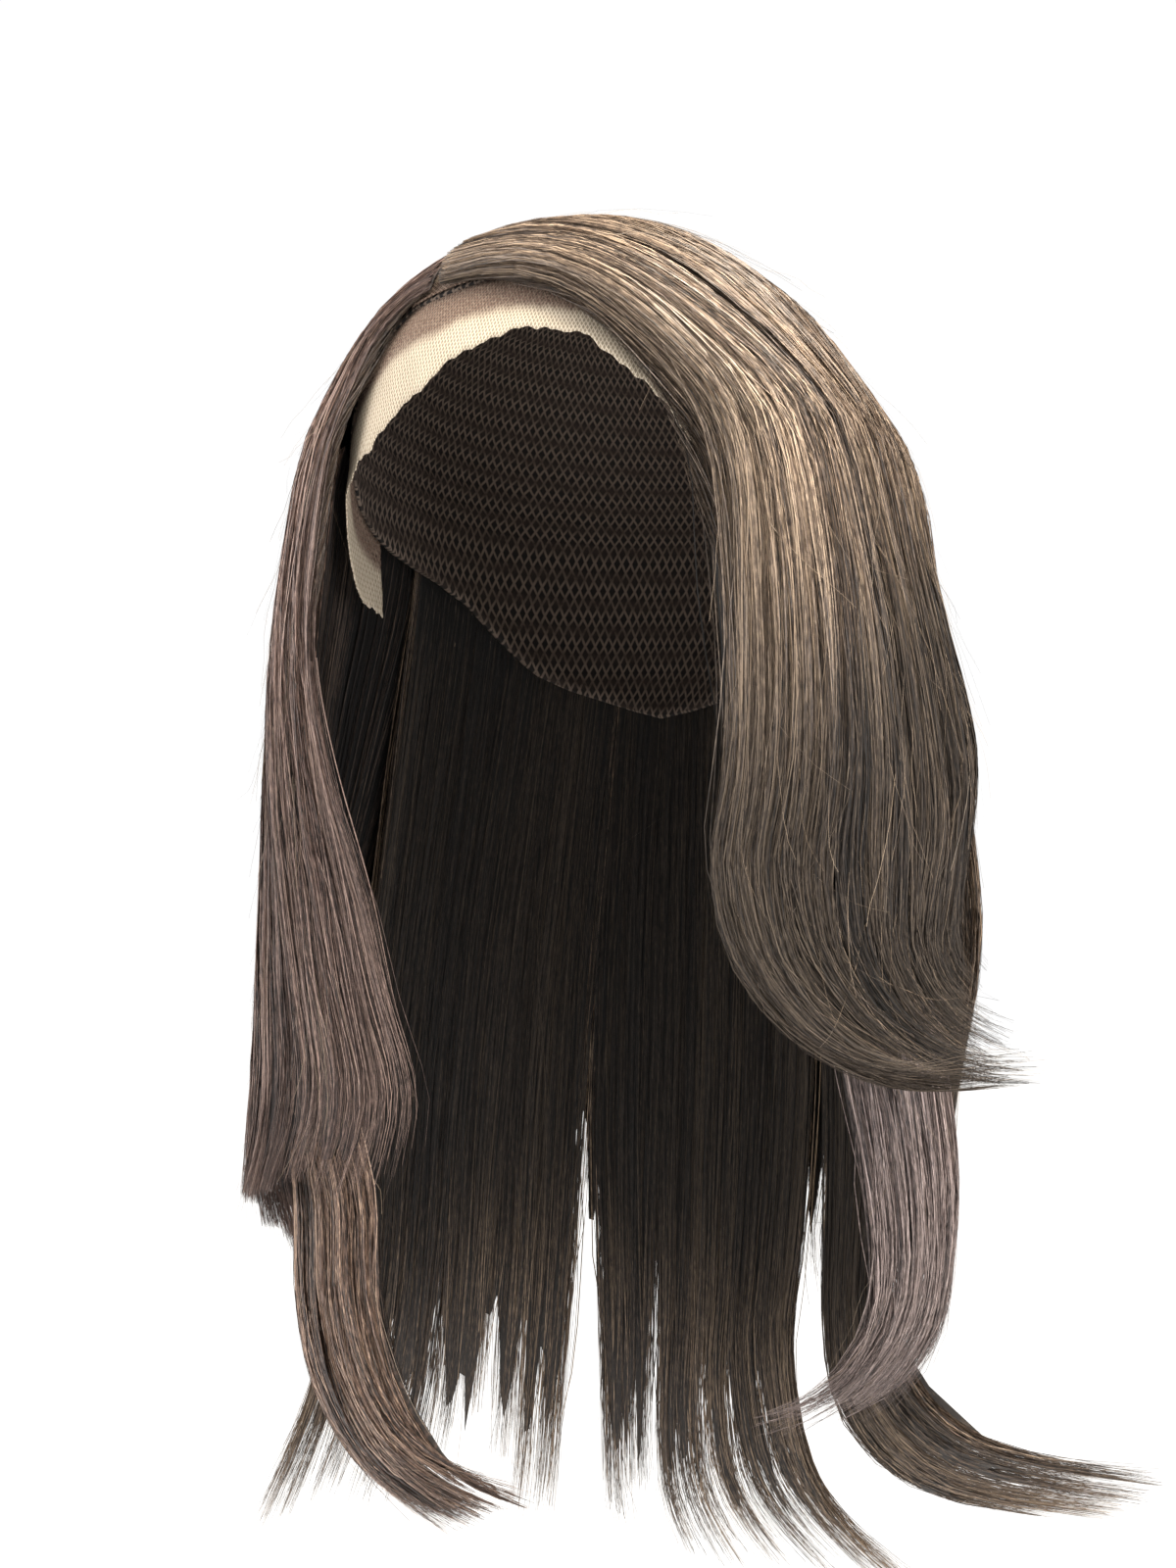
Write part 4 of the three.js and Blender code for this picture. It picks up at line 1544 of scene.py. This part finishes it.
        # Painted shade: strands are painted darker the deeper they lie in the mass and its grooves, and
        # those on the inside stay dark until they come out into the light; the layer's painted light and
        # shade is laid over that
        out = (rise + SUNK_DEPTH) / (SUNK_DEPTH + self.lift)
        cover = np.clip(mix(0.72, 1.0, out) - 0.13 * groove, 0.25, 1.0)
        cover = cover * self.painted_shading(across, along)
        under = mix(-0.1, 0.8 * cover, smooth((along - LIT_FROM) / LIT_STRETCH))
        cover = np.where(inside[:, None], under, cover)
        run = along * float(flow.lengths.mean())
        return Strands(line, normal, radius, tone, cover, run)

    def build(self) -> list[bpy.types.Object]:
        """Builds the layer.

        Returns:
            Its pieces.
        """
        flow = self.flow()
        rng = np.random.default_rng(SEED + self.seed)
        pieces = [self.mass(flow)]
        strands = self.comb(flow, self.strands, rng).build(self.name + ".strands", rng)
        pieces.append(finish_piece(strands, self.finish.material(), "hair", self.name))
        return pieces


def cap_edge(azimuth: Floats) -> Floats:
    """Finds the cap's edge, which is straight from each of its corners to the next.

    Args:
        azimuth: Where round the head, from -180 to 180.

    Returns:
        The edge's angles from the top of the head.
    """
    step = 360 / CAP_CORNERS
    turned = np.abs(azimuth)
    corner = np.floor(turned / step)
    corners = (corner * step, (corner + 1) * step)
    low, high = (read(CAP_EDGE, "azimuth", "polar", np.minimum(at, 360 - at)) for at in corners)
    return mix(low, high, turned / step - corner)


@dataclass
class Cap:
    """The net cap that the hair is sewn on: a stretched wall with rows of weft inside and a hemmed edge.

    Attributes:
        form: The head that it lies on.
        columns: How many columns its grid has.
        rows: How many points each of them has.
        sink: How far its outside lies below the cap wall's, in millimetres, as all sizes here are.
        weft_pitch: How far apart the rows of weft are.
        weft_depth: How far they stand out on the inside.
        hem_width: How wide the hem is.
        hem_depth: How thick it is.
        hem_rise: Over what width it rises.
    """

    form: Form = field(default_factory=Form)
    columns: int = 120
    rows: int = 60
    sink: float = 0.2
    weft_pitch: float = 8.5
    weft_depth: float = 1.2
    hem_width: float = 5.0
    hem_depth: float = 0.6
    hem_rise: float = 1.2

    def build(self, finish: NetFinish) -> bpy.types.Object:
        """Builds the cap.

        Args:
            finish: The net's finish.

        Returns:
            The piece.
        """
        azimuth = np.arange(self.columns) * 360.0 / self.columns
        edge = cap_edge(np.where(azimuth > 180, azimuth - 360, azimuth))
        polar = edge[:, None] * np.linspace(0, 1, self.rows)[None, :]
        direction = towards(azimuth[:, None], polar)
        along = np.radians(polar) * self.form.half_length
        to_edge = np.radians(edge[:, None] - polar) * self.form.half_length
        weft = np.abs(np.sin(math.pi * along / self.weft_pitch)) ** 6
        hem = smooth((self.hem_width - to_edge) / self.hem_rise) * self.hem_depth
        inside = -weft * self.weft_depth * (hem < 0.1) - hem
        outer = self.form.head_point(direction, CAP_WALL - self.sink)
        inner = self.form.head_point(direction, inside)
        piece = wall("cap.net", outer, inner, closed=True)
        across = np.radians(np.broadcast_to(azimuth[:, None], polar.shape)) * self.form.half_width
        give(
            piece,
            across=np.concatenate([across.ravel()] * 2),
            along=np.concatenate([along.ravel()] * 2),
            cover=np.concatenate([0 * weft.ravel(), weft.ravel()]),
        )
        weld(piece)
        finish_piece(piece, finish.material(), "cap_net", "cap_left", "cap_right")
        return piece


def weld(piece: bpy.types.Object) -> None:
    """Joins the corners of a piece that fall together.

    Args:
        piece: The piece.
    """
    mesh = bmesh.new()
    mesh.from_mesh(piece.data)
    bmesh.ops.remove_doubles(mesh, verts=mesh.verts, dist=1e-6)
    mesh.to_mesh(piece.data)
    mesh.free()


@dataclass
class LaceFront:
    """The strip of lace from temple to temple, with its hand-cut edge.

    Attributes:
        form: The head that it lies on.
        columns: How many columns its grid has.
        rows: How many points each of them has.
        cloth: How thick it is, in millimetres, as all sizes here are.
        cuts: How many notches its edge is cut in.
        cut_pitch: How far apart they are.
        cut_drift: How far each is off its place.
        cut_depth: How deep the deepest is.
        seat: How far it lies off the head.
        flutter: How far its edge lifts off it.
        rib_height: How high its ribs are.
        rib_pitch: How far apart they are.
    """

    form: Form = field(default_factory=Form)
    columns: int = 560
    rows: int = 14
    cloth: float = 0.35
    cuts: int = 60
    cut_pitch: float = 6.5
    cut_drift: float = 2.0
    cut_depth: float = 1.8
    seat: float = 0.2
    flutter: float = 1.1
    rib_height: float = 0.05
    rib_pitch: float = 2.6

    def build(self, finish: NetFinish) -> bpy.types.Object:
        """Builds the strip.

        Args:
            finish: The lace's finish.

        Returns:
            The piece.
        """
        rng = np.random.default_rng(SEED + 90)
        azimuth = np.linspace(LACE_EDGE[0].azimuth, LACE_EDGE[-1].azimuth, self.columns)
        run = np.radians(azimuth) * self.form.half_length
        drift = rng.uniform(-self.cut_drift, self.cut_drift, self.cuts)
        notches = (np.arange(self.cuts) - self.cuts // 2) * self.cut_pitch + drift
        depth = rng.uniform(0.3, 1.0, self.cuts) * self.cut_depth
        apart = np.abs(run[:, None] - notches) / (self.cut_pitch * 0.55)
        cut = (depth * np.clip(1 - apart, 0, 1) ** 0.7).max(1)
        bottom = read(LACE_EDGE, "azimuth", "polar", azimuth) - np.degrees(cut / self.form.crown_height)
        top = cap_edge(azimuth) + math.degrees(SEAT_GAP / self.form.crown_height)
        share = np.linspace(0, 1, self.rows)[None, :]
        polar = mix(top[:, None], bottom[:, None], share)
        direction = towards(azimuth[:, None], polar)
        waves = ((5.1, 0.3), (11.0, 1.7), (3.0, 4.0))
        wave = sum(np.sin(run / length + phase) for length, phase in waves) / len(waves)
        fluttering = self.flutter * (0.5 + 0.5 * wave[:, None])
        lift = self.seat + fluttering * smooth((share - 0.55) / 0.45) ** 2
        rib = self.rib_height * np.sin(run * 2 * math.pi / self.rib_pitch)[:, None]
        outer = self.form.head_point(direction, lift + rib + self.cloth)
        inner = self.form.head_point(direction, lift + rib)
        piece = wall("lace_front.net", outer, inner)
        across = np.broadcast_to(run[:, None], polar.shape)
        along = np.radians(polar) * self.form.crown_height
        brow = np.exp(-(((azimuth[:, None] - 8) / 24) ** 2))
        rooted = 1 - smooth((share - mix(0.33, 0.5, brow)) / mix(0.14, 0.22, brow))
        give(
            piece,
            across=np.concatenate([across.ravel()] * 2),
            along=np.concatenate([along.ravel()] * 2),
            cover=np.concatenate([rooted.ravel()] * 2),
        )
        finish_piece(piece, finish.material(), "lace", "lace_front")
        return piece


@dataclass
class PartStrip:
    """The strip of lace under the parting, paler along the line where the hair parts.

    Attributes:
        form: The head that it lies on.
        columns: How many columns its grid has.
        rows: How many points each of them has.
        length: How long it is, in millimetres, as all sizes here are.
        cloth: How thick it is.
        line_width: How wide the pale line is.
        line_blur: Over what width hair covers the lace beside it.
        front_bare: How much of its front end is bare of hair.
        front_blur: Over what length hair begins there.
    """

    form: Form = field(default_factory=Form)
    columns: int = 13
    rows: int = 60
    length: float = 120.0
    cloth: float = 0.4
    line_width: float = 2.2
    line_blur: float = 3.0
    front_bare: float = 6.0
    front_blur: float = 10.0

    def build(self, finish: NetFinish) -> bpy.types.Object:
        """Builds the strip.

        Args:
            finish: The lace's finish.

        Returns:
            The piece.
        """
        spots, _, left = self.form.parting_line(np.linspace(0, 1, self.rows))
        aside = np.linspace(0.5, -0.5, self.columns) * PART_STRIP_WIDTH
        direction = spots[None] + left[None] * aside[:, None, None] / self.form.half_width
        base = CAP_WALL + SEAT_GAP
        outer = self.form.head_point(direction, base + self.cloth)
        inner = self.form.head_point(direction, base)
        piece = wall("part_strip.net", outer, inner)
        along = np.broadcast_to(np.linspace(0, self.length, self.rows)[None, :], (self.columns, self.rows))
        across = np.broadcast_to(aside[:, None], along.shape)
        aside_line = smooth((np.abs(across) - self.line_width / 2) / self.line_blur)
        rooted = np.maximum(aside_line, 1 - smooth((along - self.front_bare) / self.front_blur))
        give(
            piece,
            across=np.concatenate([across.ravel()] * 2),
            along=np.concatenate([along.ravel()] * 2),
            cover=np.concatenate([rooted.ravel()] * 2),
        )
        finish_piece(piece, finish.material(), "lace", "part_strip")
        return piece


@dataclass
class LooseHairs:
    """The fine hairs that stand off the mass, and those that are knotted along the hairline.

    Attributes:
        seed: What their random draws start from.
        steps: How many stretches each hair has.
        fine: Half a hair's width in millimetres.
        stray_starts: Where along a layer stray hairs leave it.
        stray_lengths: How long they are, as shares of its length.
        stray_aside: How far they turn aside, in millimetres.
        stray_away: How far they stand off, in millimetres.
        stray_tones: How light they are.
        rooted_starts: Where along a layer's face edge hairs are knotted in.
        rooted_lengths: How long they are, as shares of its length.
        rooted_tones: How light they are.
        far_share: The share of them that are knotted in further out on the lace.
        far_reach: How far out those are, as shares of the layer's width.
        near_reach: How far out the others are.
    """

    seed: int = 300
    steps: int = 9
    fine: float = 0.085
    stray_starts: Pair = (0.03, 0.86)
    stray_lengths: Pair = (0.08, 0.24)
    stray_aside: float = 8.0
    stray_away: float = 3.4
    stray_tones: Pair = (0.4, 1.4)
    rooted_starts: Pair = (0.0, 0.32)
    rooted_lengths: Pair = (0.1, 0.2)
    rooted_tones: Pair = (0.2, 0.6)
    far_share: float = 0.06
    far_reach: Pair = (0.06, 0.17)
    near_reach: Pair = (0.004, 0.055)

    def strays(self, layer: HairLayer, flow: Flow, count: int, rng: np.random.Generator) -> Strands:
        """Lays hairs that leave a layer's surface.

        Args:
            layer: The layer.
            flow: Its grid.
            count: How many hairs there are.
            rng: Where the random draws come from.

        Returns:
            The hairs.
        """
        start = rng.uniform(*self.stray_starts, (count, 1))
        length = rng.uniform(*self.stray_lengths, (count, 1))
        s = np.linspace(0, 1, self.steps + 1)[None, :]
        along = np.minimum(start + length * s, 1.0)
        across = rng.uniform(0.0, 1.0, (count, 1)) + 0 * s
        girth = np.maximum(flow.read(flow.girth, across, along), 40.0)
        aside = rng.normal(0, self.stray_aside, (count, 1))
        aside = aside * np.where(rng.uniform(0, 1, (count, 1)) < 0.25, 2.6, 1.0)
        across = across + aside * s**1.6 / girth
        width = float(flow.girth[:, layer.rows // 2].mean())
        thick = flow.read(flow.thickness, across, along)
        away = np.abs(rng.normal(0, self.stray_away, (count, 1)))
        height = thick - layer.relief(across, along, width) - 0.5 + away * s**1.8
        normal = unit(flow.read(flow.normals, across, along))
        line = flow.read(flow.places, across, along) + normal * height[..., None]
        radius = mix(1.0, 0.45, s) * rng.uniform(0.6, 1.1, (count, 1)) * self.fine
        tone = rng.uniform(*self.stray_tones, count)
        run = along * flow.lengths.mean()
        return Strands(line, normal, radius, tone, np.ones_like(run), run)

    def hairline(self, flow: Flow, count: int, at_last: bool, rng: np.random.Generator) -> Strands:
        """Lays fine hairs from the lace into a layer's face edge.

        Args:
            flow: The layer's grid.
            count: How many hairs there are.
            at_last: Whether the face is at the layer's last edge.
            rng: Where the random draws come from.

        Returns:
            The hairs.
        """
        start = rng.uniform(*self.rooted_starts, (count, 1))
        s = np.linspace(0, 1, self.steps + 1)[None, :]
        along = start + rng.uniform(*self.rooted_lengths, (count, 1)) * s
        far = rng.uniform(0, 1, (count, 1)) < self.far_share
        along = np.where(far, along - 0.7 * start, along)
        far_out, near_out = (rng.uniform(*out, (count, 1)) for out in (self.far_reach, self.near_reach))
        reach = np.where(far, far_out, near_out)
        across = mix(-reach, rng.uniform(0.01, 0.05, (count, 1)), smooth(s) ** 0.7)
        across = 1 - across if at_last else across
        thick = flow.read(flow.thickness, np.clip(across, 0, 1), along)
        height = mix(np.where(far, 0.3, -0.4), 0.55 * thick, smooth(s / 0.7))
        normal = unit(flow.read(flow.normals, across, along))
        line = flow.read(flow.places, across, along) + normal * height[..., None]
        radius = mix(0.5, 1.0, smooth(s / 0.4)) * rng.uniform(0.7, 1.1, (count, 1)) * self.fine
        tone = rng.uniform(*self.rooted_tones, count)
        run = along * flow.lengths.mean()
        return Strands(line, normal, radius, tone, np.ones_like(run), run)

    def build(self, layers: Sequence[HairLayer], share: float) -> list[bpy.types.Object]:
        """Builds both sets.

        Args:
            layers: The layers of hair, the front ones among them.
            share: The share of the full number of hairs to build.

        Returns:
            The two pieces.
        """
        rng = np.random.default_rng(SEED + self.seed)
        flows = {layer.name: layer.flow() for layer in layers}
        strays = [
            self.strays(layer, flows[layer.name], int(STRAYS[layer.name] * share), rng) for layer in layers
        ]
        rooted = [
            self.hairline(flows[name], int(count * share), last, rng) for name, count, last in HAIRLINES
        ]
        made = []
        for name, sets in (("stray_hairs", strays), ("hairline_hairs", rooted)):
            made.append(finish_piece(Strands.join(sets).build(name, rng), FRONT_HAIR.material(), "hair"))
        return made


class Lamp(NamedTuple):
    """A square light, with the height that it aims at in mm, and its distance and its side in metres."""

    name: str
    azimuth: float
    elevation: float
    height: float
    distance: float
    size: float
    power: float
    colour: Colour


LAMPS = (
    Lamp("top_light", 70, 60, -40, 0.75, 0.6, 17, (1.0, 0.92, 0.8)),
    Lamp("side_light", -62, 16, -260, 1.5, 1.2, 26, (1.0, 0.96, 0.95)),
    Lamp("front_light", 48, 26, -130, 1.2, 0.8, 6, (1.0, 0.96, 0.9)),
    Lamp("low_light", 62, 4, -360, 1.2, 0.6, 6, (0.97, 0.95, 1.0)),
)


@dataclass(frozen=True)
class Studio:
    """The floor, the lights and the camera, which sees the wig as the photograph does.

    Attributes:
        target: The place that the camera turns round.
        azimuth: Where round the wig the camera stands.
        elevation: How far above the target's level it stands, in degrees.
        roll: How far it is turned about its own line of sight.
        distance: How far off it is.
        aside: How far it is moved to its right.
        above: How far it is moved up.
        lens: Its focal length.
        sensor: Its sensor's width.
        floor_drop: How far down the floor is.
        floor_half: Half the floor's width.
        floor_glow: The floor's own light.
        room_power: The light of the room all round.
        seen_power: What the camera sees of the room on top of that.
        sun_power: The daylight's strength.
        sun_spread: How wide it comes in, in degrees.
        sun_azimuth: Where round the wig it comes from.
        sun_polar: Its angle from straight above.
    """

    target: Triple = (0.0, 0.0, -140.0)
    azimuth: float = 21.0
    elevation: float = -5.0
    roll: float = 3.0
    distance: float = 745.0
    aside: float = 1.0
    above: float = -42.0
    lens: float = 50.0
    sensor: float = 36.0
    floor_drop: float = 1200.0
    floor_half: float = 40000.0
    floor_glow: float = 0.5
    room_power: float = 0.34
    seen_power: float = 0.68
    sun_power: float = 1.5
    sun_spread: float = 45.0
    sun_azimuth: float = 60.0
    sun_polar: float = 32.0

    def camera(self) -> None:
        """Makes the scene's camera."""
        a, e, r = (math.radians(x) for x in (self.azimuth, self.elevation, self.roll))
        back = Vector((math.sin(a) * math.cos(e), -math.cos(a) * math.cos(e), math.sin(e)))
        level = (-back).cross(Vector((0, 0, 1))).normalized()
        upright = level.cross(-back)
        right = level * math.cos(r) + upright * math.sin(r)
        up = upright * math.cos(r) - level * math.sin(r)
        place = Vector(self.target) + right * self.aside + up * self.above + back * self.distance
        data = bpy.data.cameras.new("camera")
        data.lens, data.sensor_width = self.lens, self.sensor
        data.clip_start, data.clip_end = 0.01, 200.0
        made = bpy.data.objects.new("camera", data)
        turned = Matrix((right, up, back)).transposed().to_4x4()
        made.matrix_world = Matrix.Translation(place * MM) @ turned
        bpy.context.scene.collection.objects.link(made)
        bpy.context.scene.camera = made

    def light(self, lamp: Lamp) -> None:
        """Makes one soft light that faces the wig.

        Args:
            lamp: What it is like.
        """
        data = bpy.data.lights.new(lamp.name, "AREA")
        data.size, data.energy, data.color = lamp.size, lamp.power, lamp.colour
        way = Vector(towards(lamp.azimuth, 90 - lamp.elevation))
        made = bpy.data.objects.new(lamp.name, data)
        made.location = Vector((0, 0, lamp.height * MM)) + way * lamp.distance
        made.rotation_mode = "QUATERNION"
        made.rotation_quaternion = way.to_track_quat("Z", "Y")
        bpy.context.scene.collection.objects.link(made)

    def surroundings(self) -> None:
        """Makes the pale floor and the even light of the room."""
        half, drop = self.floor_half, -self.floor_drop
        corners = np.array([[x * half, y * half, drop] for x, y in ((-1, -1), (1, -1), (1, 1), (-1, 1))])
        floor = make_object("floor", corners, np.array([[0, 1, 2, 3]]), np.empty((0, 3), int))
        graph = Graph.of_material("floor")
        place = graph.add("ShaderNodeNewGeometry").outputs["Position"]
        fleck = graph.add("ShaderNodeTexNoise", Vector=place, Scale=3.0).outputs["Fac"]
        colour = graph.blend(fleck, (0.9, 0.9, 0.9, 1), (0.94, 0.94, 0.94, 1))
        shader = graph.add(
            "ShaderNodeBsdfPrincipled",
            **{
                "Base Color": colour,
                "Roughness": 0.9,
                "Emission Color": (1.0, 1.0, 1.0, 1),
                "Emission Strength": self.floor_glow,
            },
        )
        graph.output(shader)
        floor.data.materials.append(graph.material)
        world = bpy.data.worlds.new("room")
        world.use_nodes = True
        world.node_tree.nodes.clear()
        sky = Graph(world.node_tree)
        seen = sky.add("ShaderNodeLightPath").outputs["Is Camera Ray"]
        strength = sky.math("MULTIPLY_ADD", seen, self.seen_power, self.room_power)
        background = sky.add("ShaderNodeBackground", Color=(1.0, 1.0, 1.0, 1), Strength=strength)
        end = world.node_tree.nodes.new("ShaderNodeOutputWorld")
        world.node_tree.links.new(background.outputs[0], end.inputs["Surface"])
        bpy.context.scene.world = world

    def daylight(self) -> None:
        """Makes the wide, even light from above."""
        sun = bpy.data.lights.new("daylight", "SUN")
        sun.energy, sun.angle, sun.color = self.sun_power, math.radians(self.sun_spread), (1.0, 0.96, 0.9)
        made = bpy.data.objects.new("daylight", sun)
        made.rotation_mode = "QUATERNION"
        made.rotation_quaternion = Vector(towards(self.sun_azimuth, self.sun_polar)).to_track_quat("Z", "Y")
        bpy.context.scene.collection.objects.link(made)

    def build(self) -> None:
        """Makes everything that is not part of the wig."""
        self.camera()
        self.surroundings()
        self.daylight()
        for lamp in LAMPS:
            self.light(lamp)
        bpy.context.scene.view_settings.view_transform = "Standard"


FRONT_HAIR = HairFinish(
    "hair_front", (0.0195, 0.0137, 0.0103), (0.101, 0.0715, 0.051), (0.285, 0.212, 0.148)
)
RIGHT_HAIR = HairFinish(
    "hair_right", (0.021, 0.0135, 0.0115), (0.14, 0.087, 0.071), (0.4, 0.275, 0.222), 0.42
)
CURL_HAIR = HairFinish("hair_curl", (0.026, 0.0165, 0.012), (0.18, 0.112, 0.082), (0.54, 0.37, 0.26), 0.4)
# The side layer's paler finish is partly its own tone and partly painted highlight
SIDE_HAIR = HairFinish("hair_side", (0.03, 0.0225, 0.022), (0.19, 0.143, 0.129), (0.46, 0.366, 0.335), 0.4)
BACK_HAIR = HairFinish("hair_back", (0.021, 0.0145, 0.0105), (0.135, 0.093, 0.065), (0.39, 0.28, 0.185))
LACE = NetFinish("lace_weave", (0.62, 0.54, 0.42), (0.42, 0.345, 0.25), (0.15, 0.095, 0.07), 1.5, 0.35)
CAP_NET = NetFinish(
    "cap_weave", (0.14, 0.105, 0.082), (0.006, 0.0045, 0.004), (0.03, 0.02, 0.015), 3.4, 0.0
)

# How many stray hairs each layer has, and how many are knotted in beside each front layer and whether the
# face is at its last edge
STRAYS = {
    "left_front_layer": 520,
    "back_top_layer": 460,
    "right_front_layer": 620,
    "left_middle_layer": 70,
    "back_middle_layer": 10,
    "right_middle_layer": 130,
    "left_back_layer": 40,
    "back_lower_layer": 40,
    "right_back_layer": 40,
}
HAIRLINES = (("left_front_layer", 620, False), ("right_front_layer", 460, True))


def hair_layers(share: float) -> list[HairLayer]:
    """Lists the layers of hair.

    Args:
        share: The share of the full number of strands that each has.

    Returns:
        The layers.
    """
    layers = [
        HairLayer(
            "left_front_layer", (45, 106), (34, 106), Stack.TOP, None,
            (0.33, 0.36), (0.17, 0.08), (110, 54), (104, 112), 3600, 26, FRONT_HAIR, 11,
            tuck=0.3, joined=(False, True), painted_fade=(2.5, 0.2), fluff=5.0, margin=0.2,
        ),
        HairLayer(
            "back_top_layer", (106, 250), (106, 250), Stack.TOP, None,
            (0.57, 0.6), (0.1, 0.1), (14, 14), (290, 430), 3600, 24, BACK_HAIR, 12,
            tail=(0.04, 0.05), joined=(True, True), painted_fade=(1.5, 0.75),
        ),
        HairLayer(
            "right_front_layer", (250, 317), (250, 335), Stack.TOP, None,
            (0.55, 0.53), (0.4, 0.3), (24, 18), (70, 290), 2900, 22, RIGHT_HAIR, 13,
            flare=(0.6, 0.8), tuck=0.3, tip=2.6, ends=Ends.BLUNT, joined=(True, False), painted_fade=(1.5, 0.72),
            spill=0.15, fluff=0.9, margin=0.2,
        ),
        HairLayer(
            "left_middle_layer", (52, 106), (62, 105), Stack.MIDDLE, 0.06,
            (0.66, 0.68), (0.11, 0.1), (74, 66), (290, 285), 1300, 18, SIDE_HAIR, 14,
            tail=(0.03, 0), flare=(1.0, 1.2), painted_fade=(0.3, 1.0), gather=0.5, fluff=3.0,
        ),
        HairLayer(
            "back_middle_layer", (106, 242), (107, 242), Stack.MIDDLE, 0.06,
            (0.66, 0.7), (0.12, 0.12), (18, 20), (120, 250), 1000, 14, BACK_HAIR, 15,
            tail=(0.02, 0.02),
        ),
        HairLayer(
            "right_middle_layer", (242, 306), (290, 328), Stack.MIDDLE, 0.06,
            (0.65, 0.62), (0.2, 0.2), (86, 92), (54, 52), 1700, 22, CURL_HAIR, 16,
            tail=(0.12, 0.1), flare=(-0.9, -0.9), painted_fade=(1.3, 0.9), gather=0.85, fluff=3.2,
        ),
        HairLayer(
            "left_back_layer", (106, 142), (109, 136), Stack.UNDER, 0,
            (0.68, 0.74), (0.15, 0.15), (84, 84), (112, 116), 1200, 18, BACK_HAIR, 17,
            tail=(0.15, 0.13),
        ),
        HairLayer(
            "back_lower_layer", (143, 196), (147, 190), Stack.UNDER, 0,
            (0.76, 0.88), (0.24, 0.2), (62, 30), (116, 150), 1400, 16, BACK_HAIR, 18,
            tail=(0.04, 0),
        ),
        HairLayer(
            "right_back_layer", (197, 254), (201, 262), Stack.UNDER, 0,
            (0.86, 0.65), (0.3, 0.5), (20, 22), (215, 262), 1400, 16, BACK_HAIR, 19,
            tail=(0, 0.15),
        ),
    ]
    for layer in layers:
        layer.strands = int(layer.strands * share)
        if layer.stack is Stack.UNDER:
            layer.inside_share, layer.gather, layer.fluff, layer.loose = 0.5, 0.45, 3.0, 0.04
    return layers


def main() -> None:
    """Builds the wig round the frame."""
    logging.basicConfig(level=logging.INFO, format="%(message)s")
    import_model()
    Studio().build()
    share = 1.0
    layers = hair_layers(share)
    LaceFront().build(LACE)
    PartStrip().build(LACE)
    Cap().build(CAP_NET)
    for layer in layers:
        layer.build()
    LooseHairs().build(layers, share)


if __name__ == "__main__":
    main()
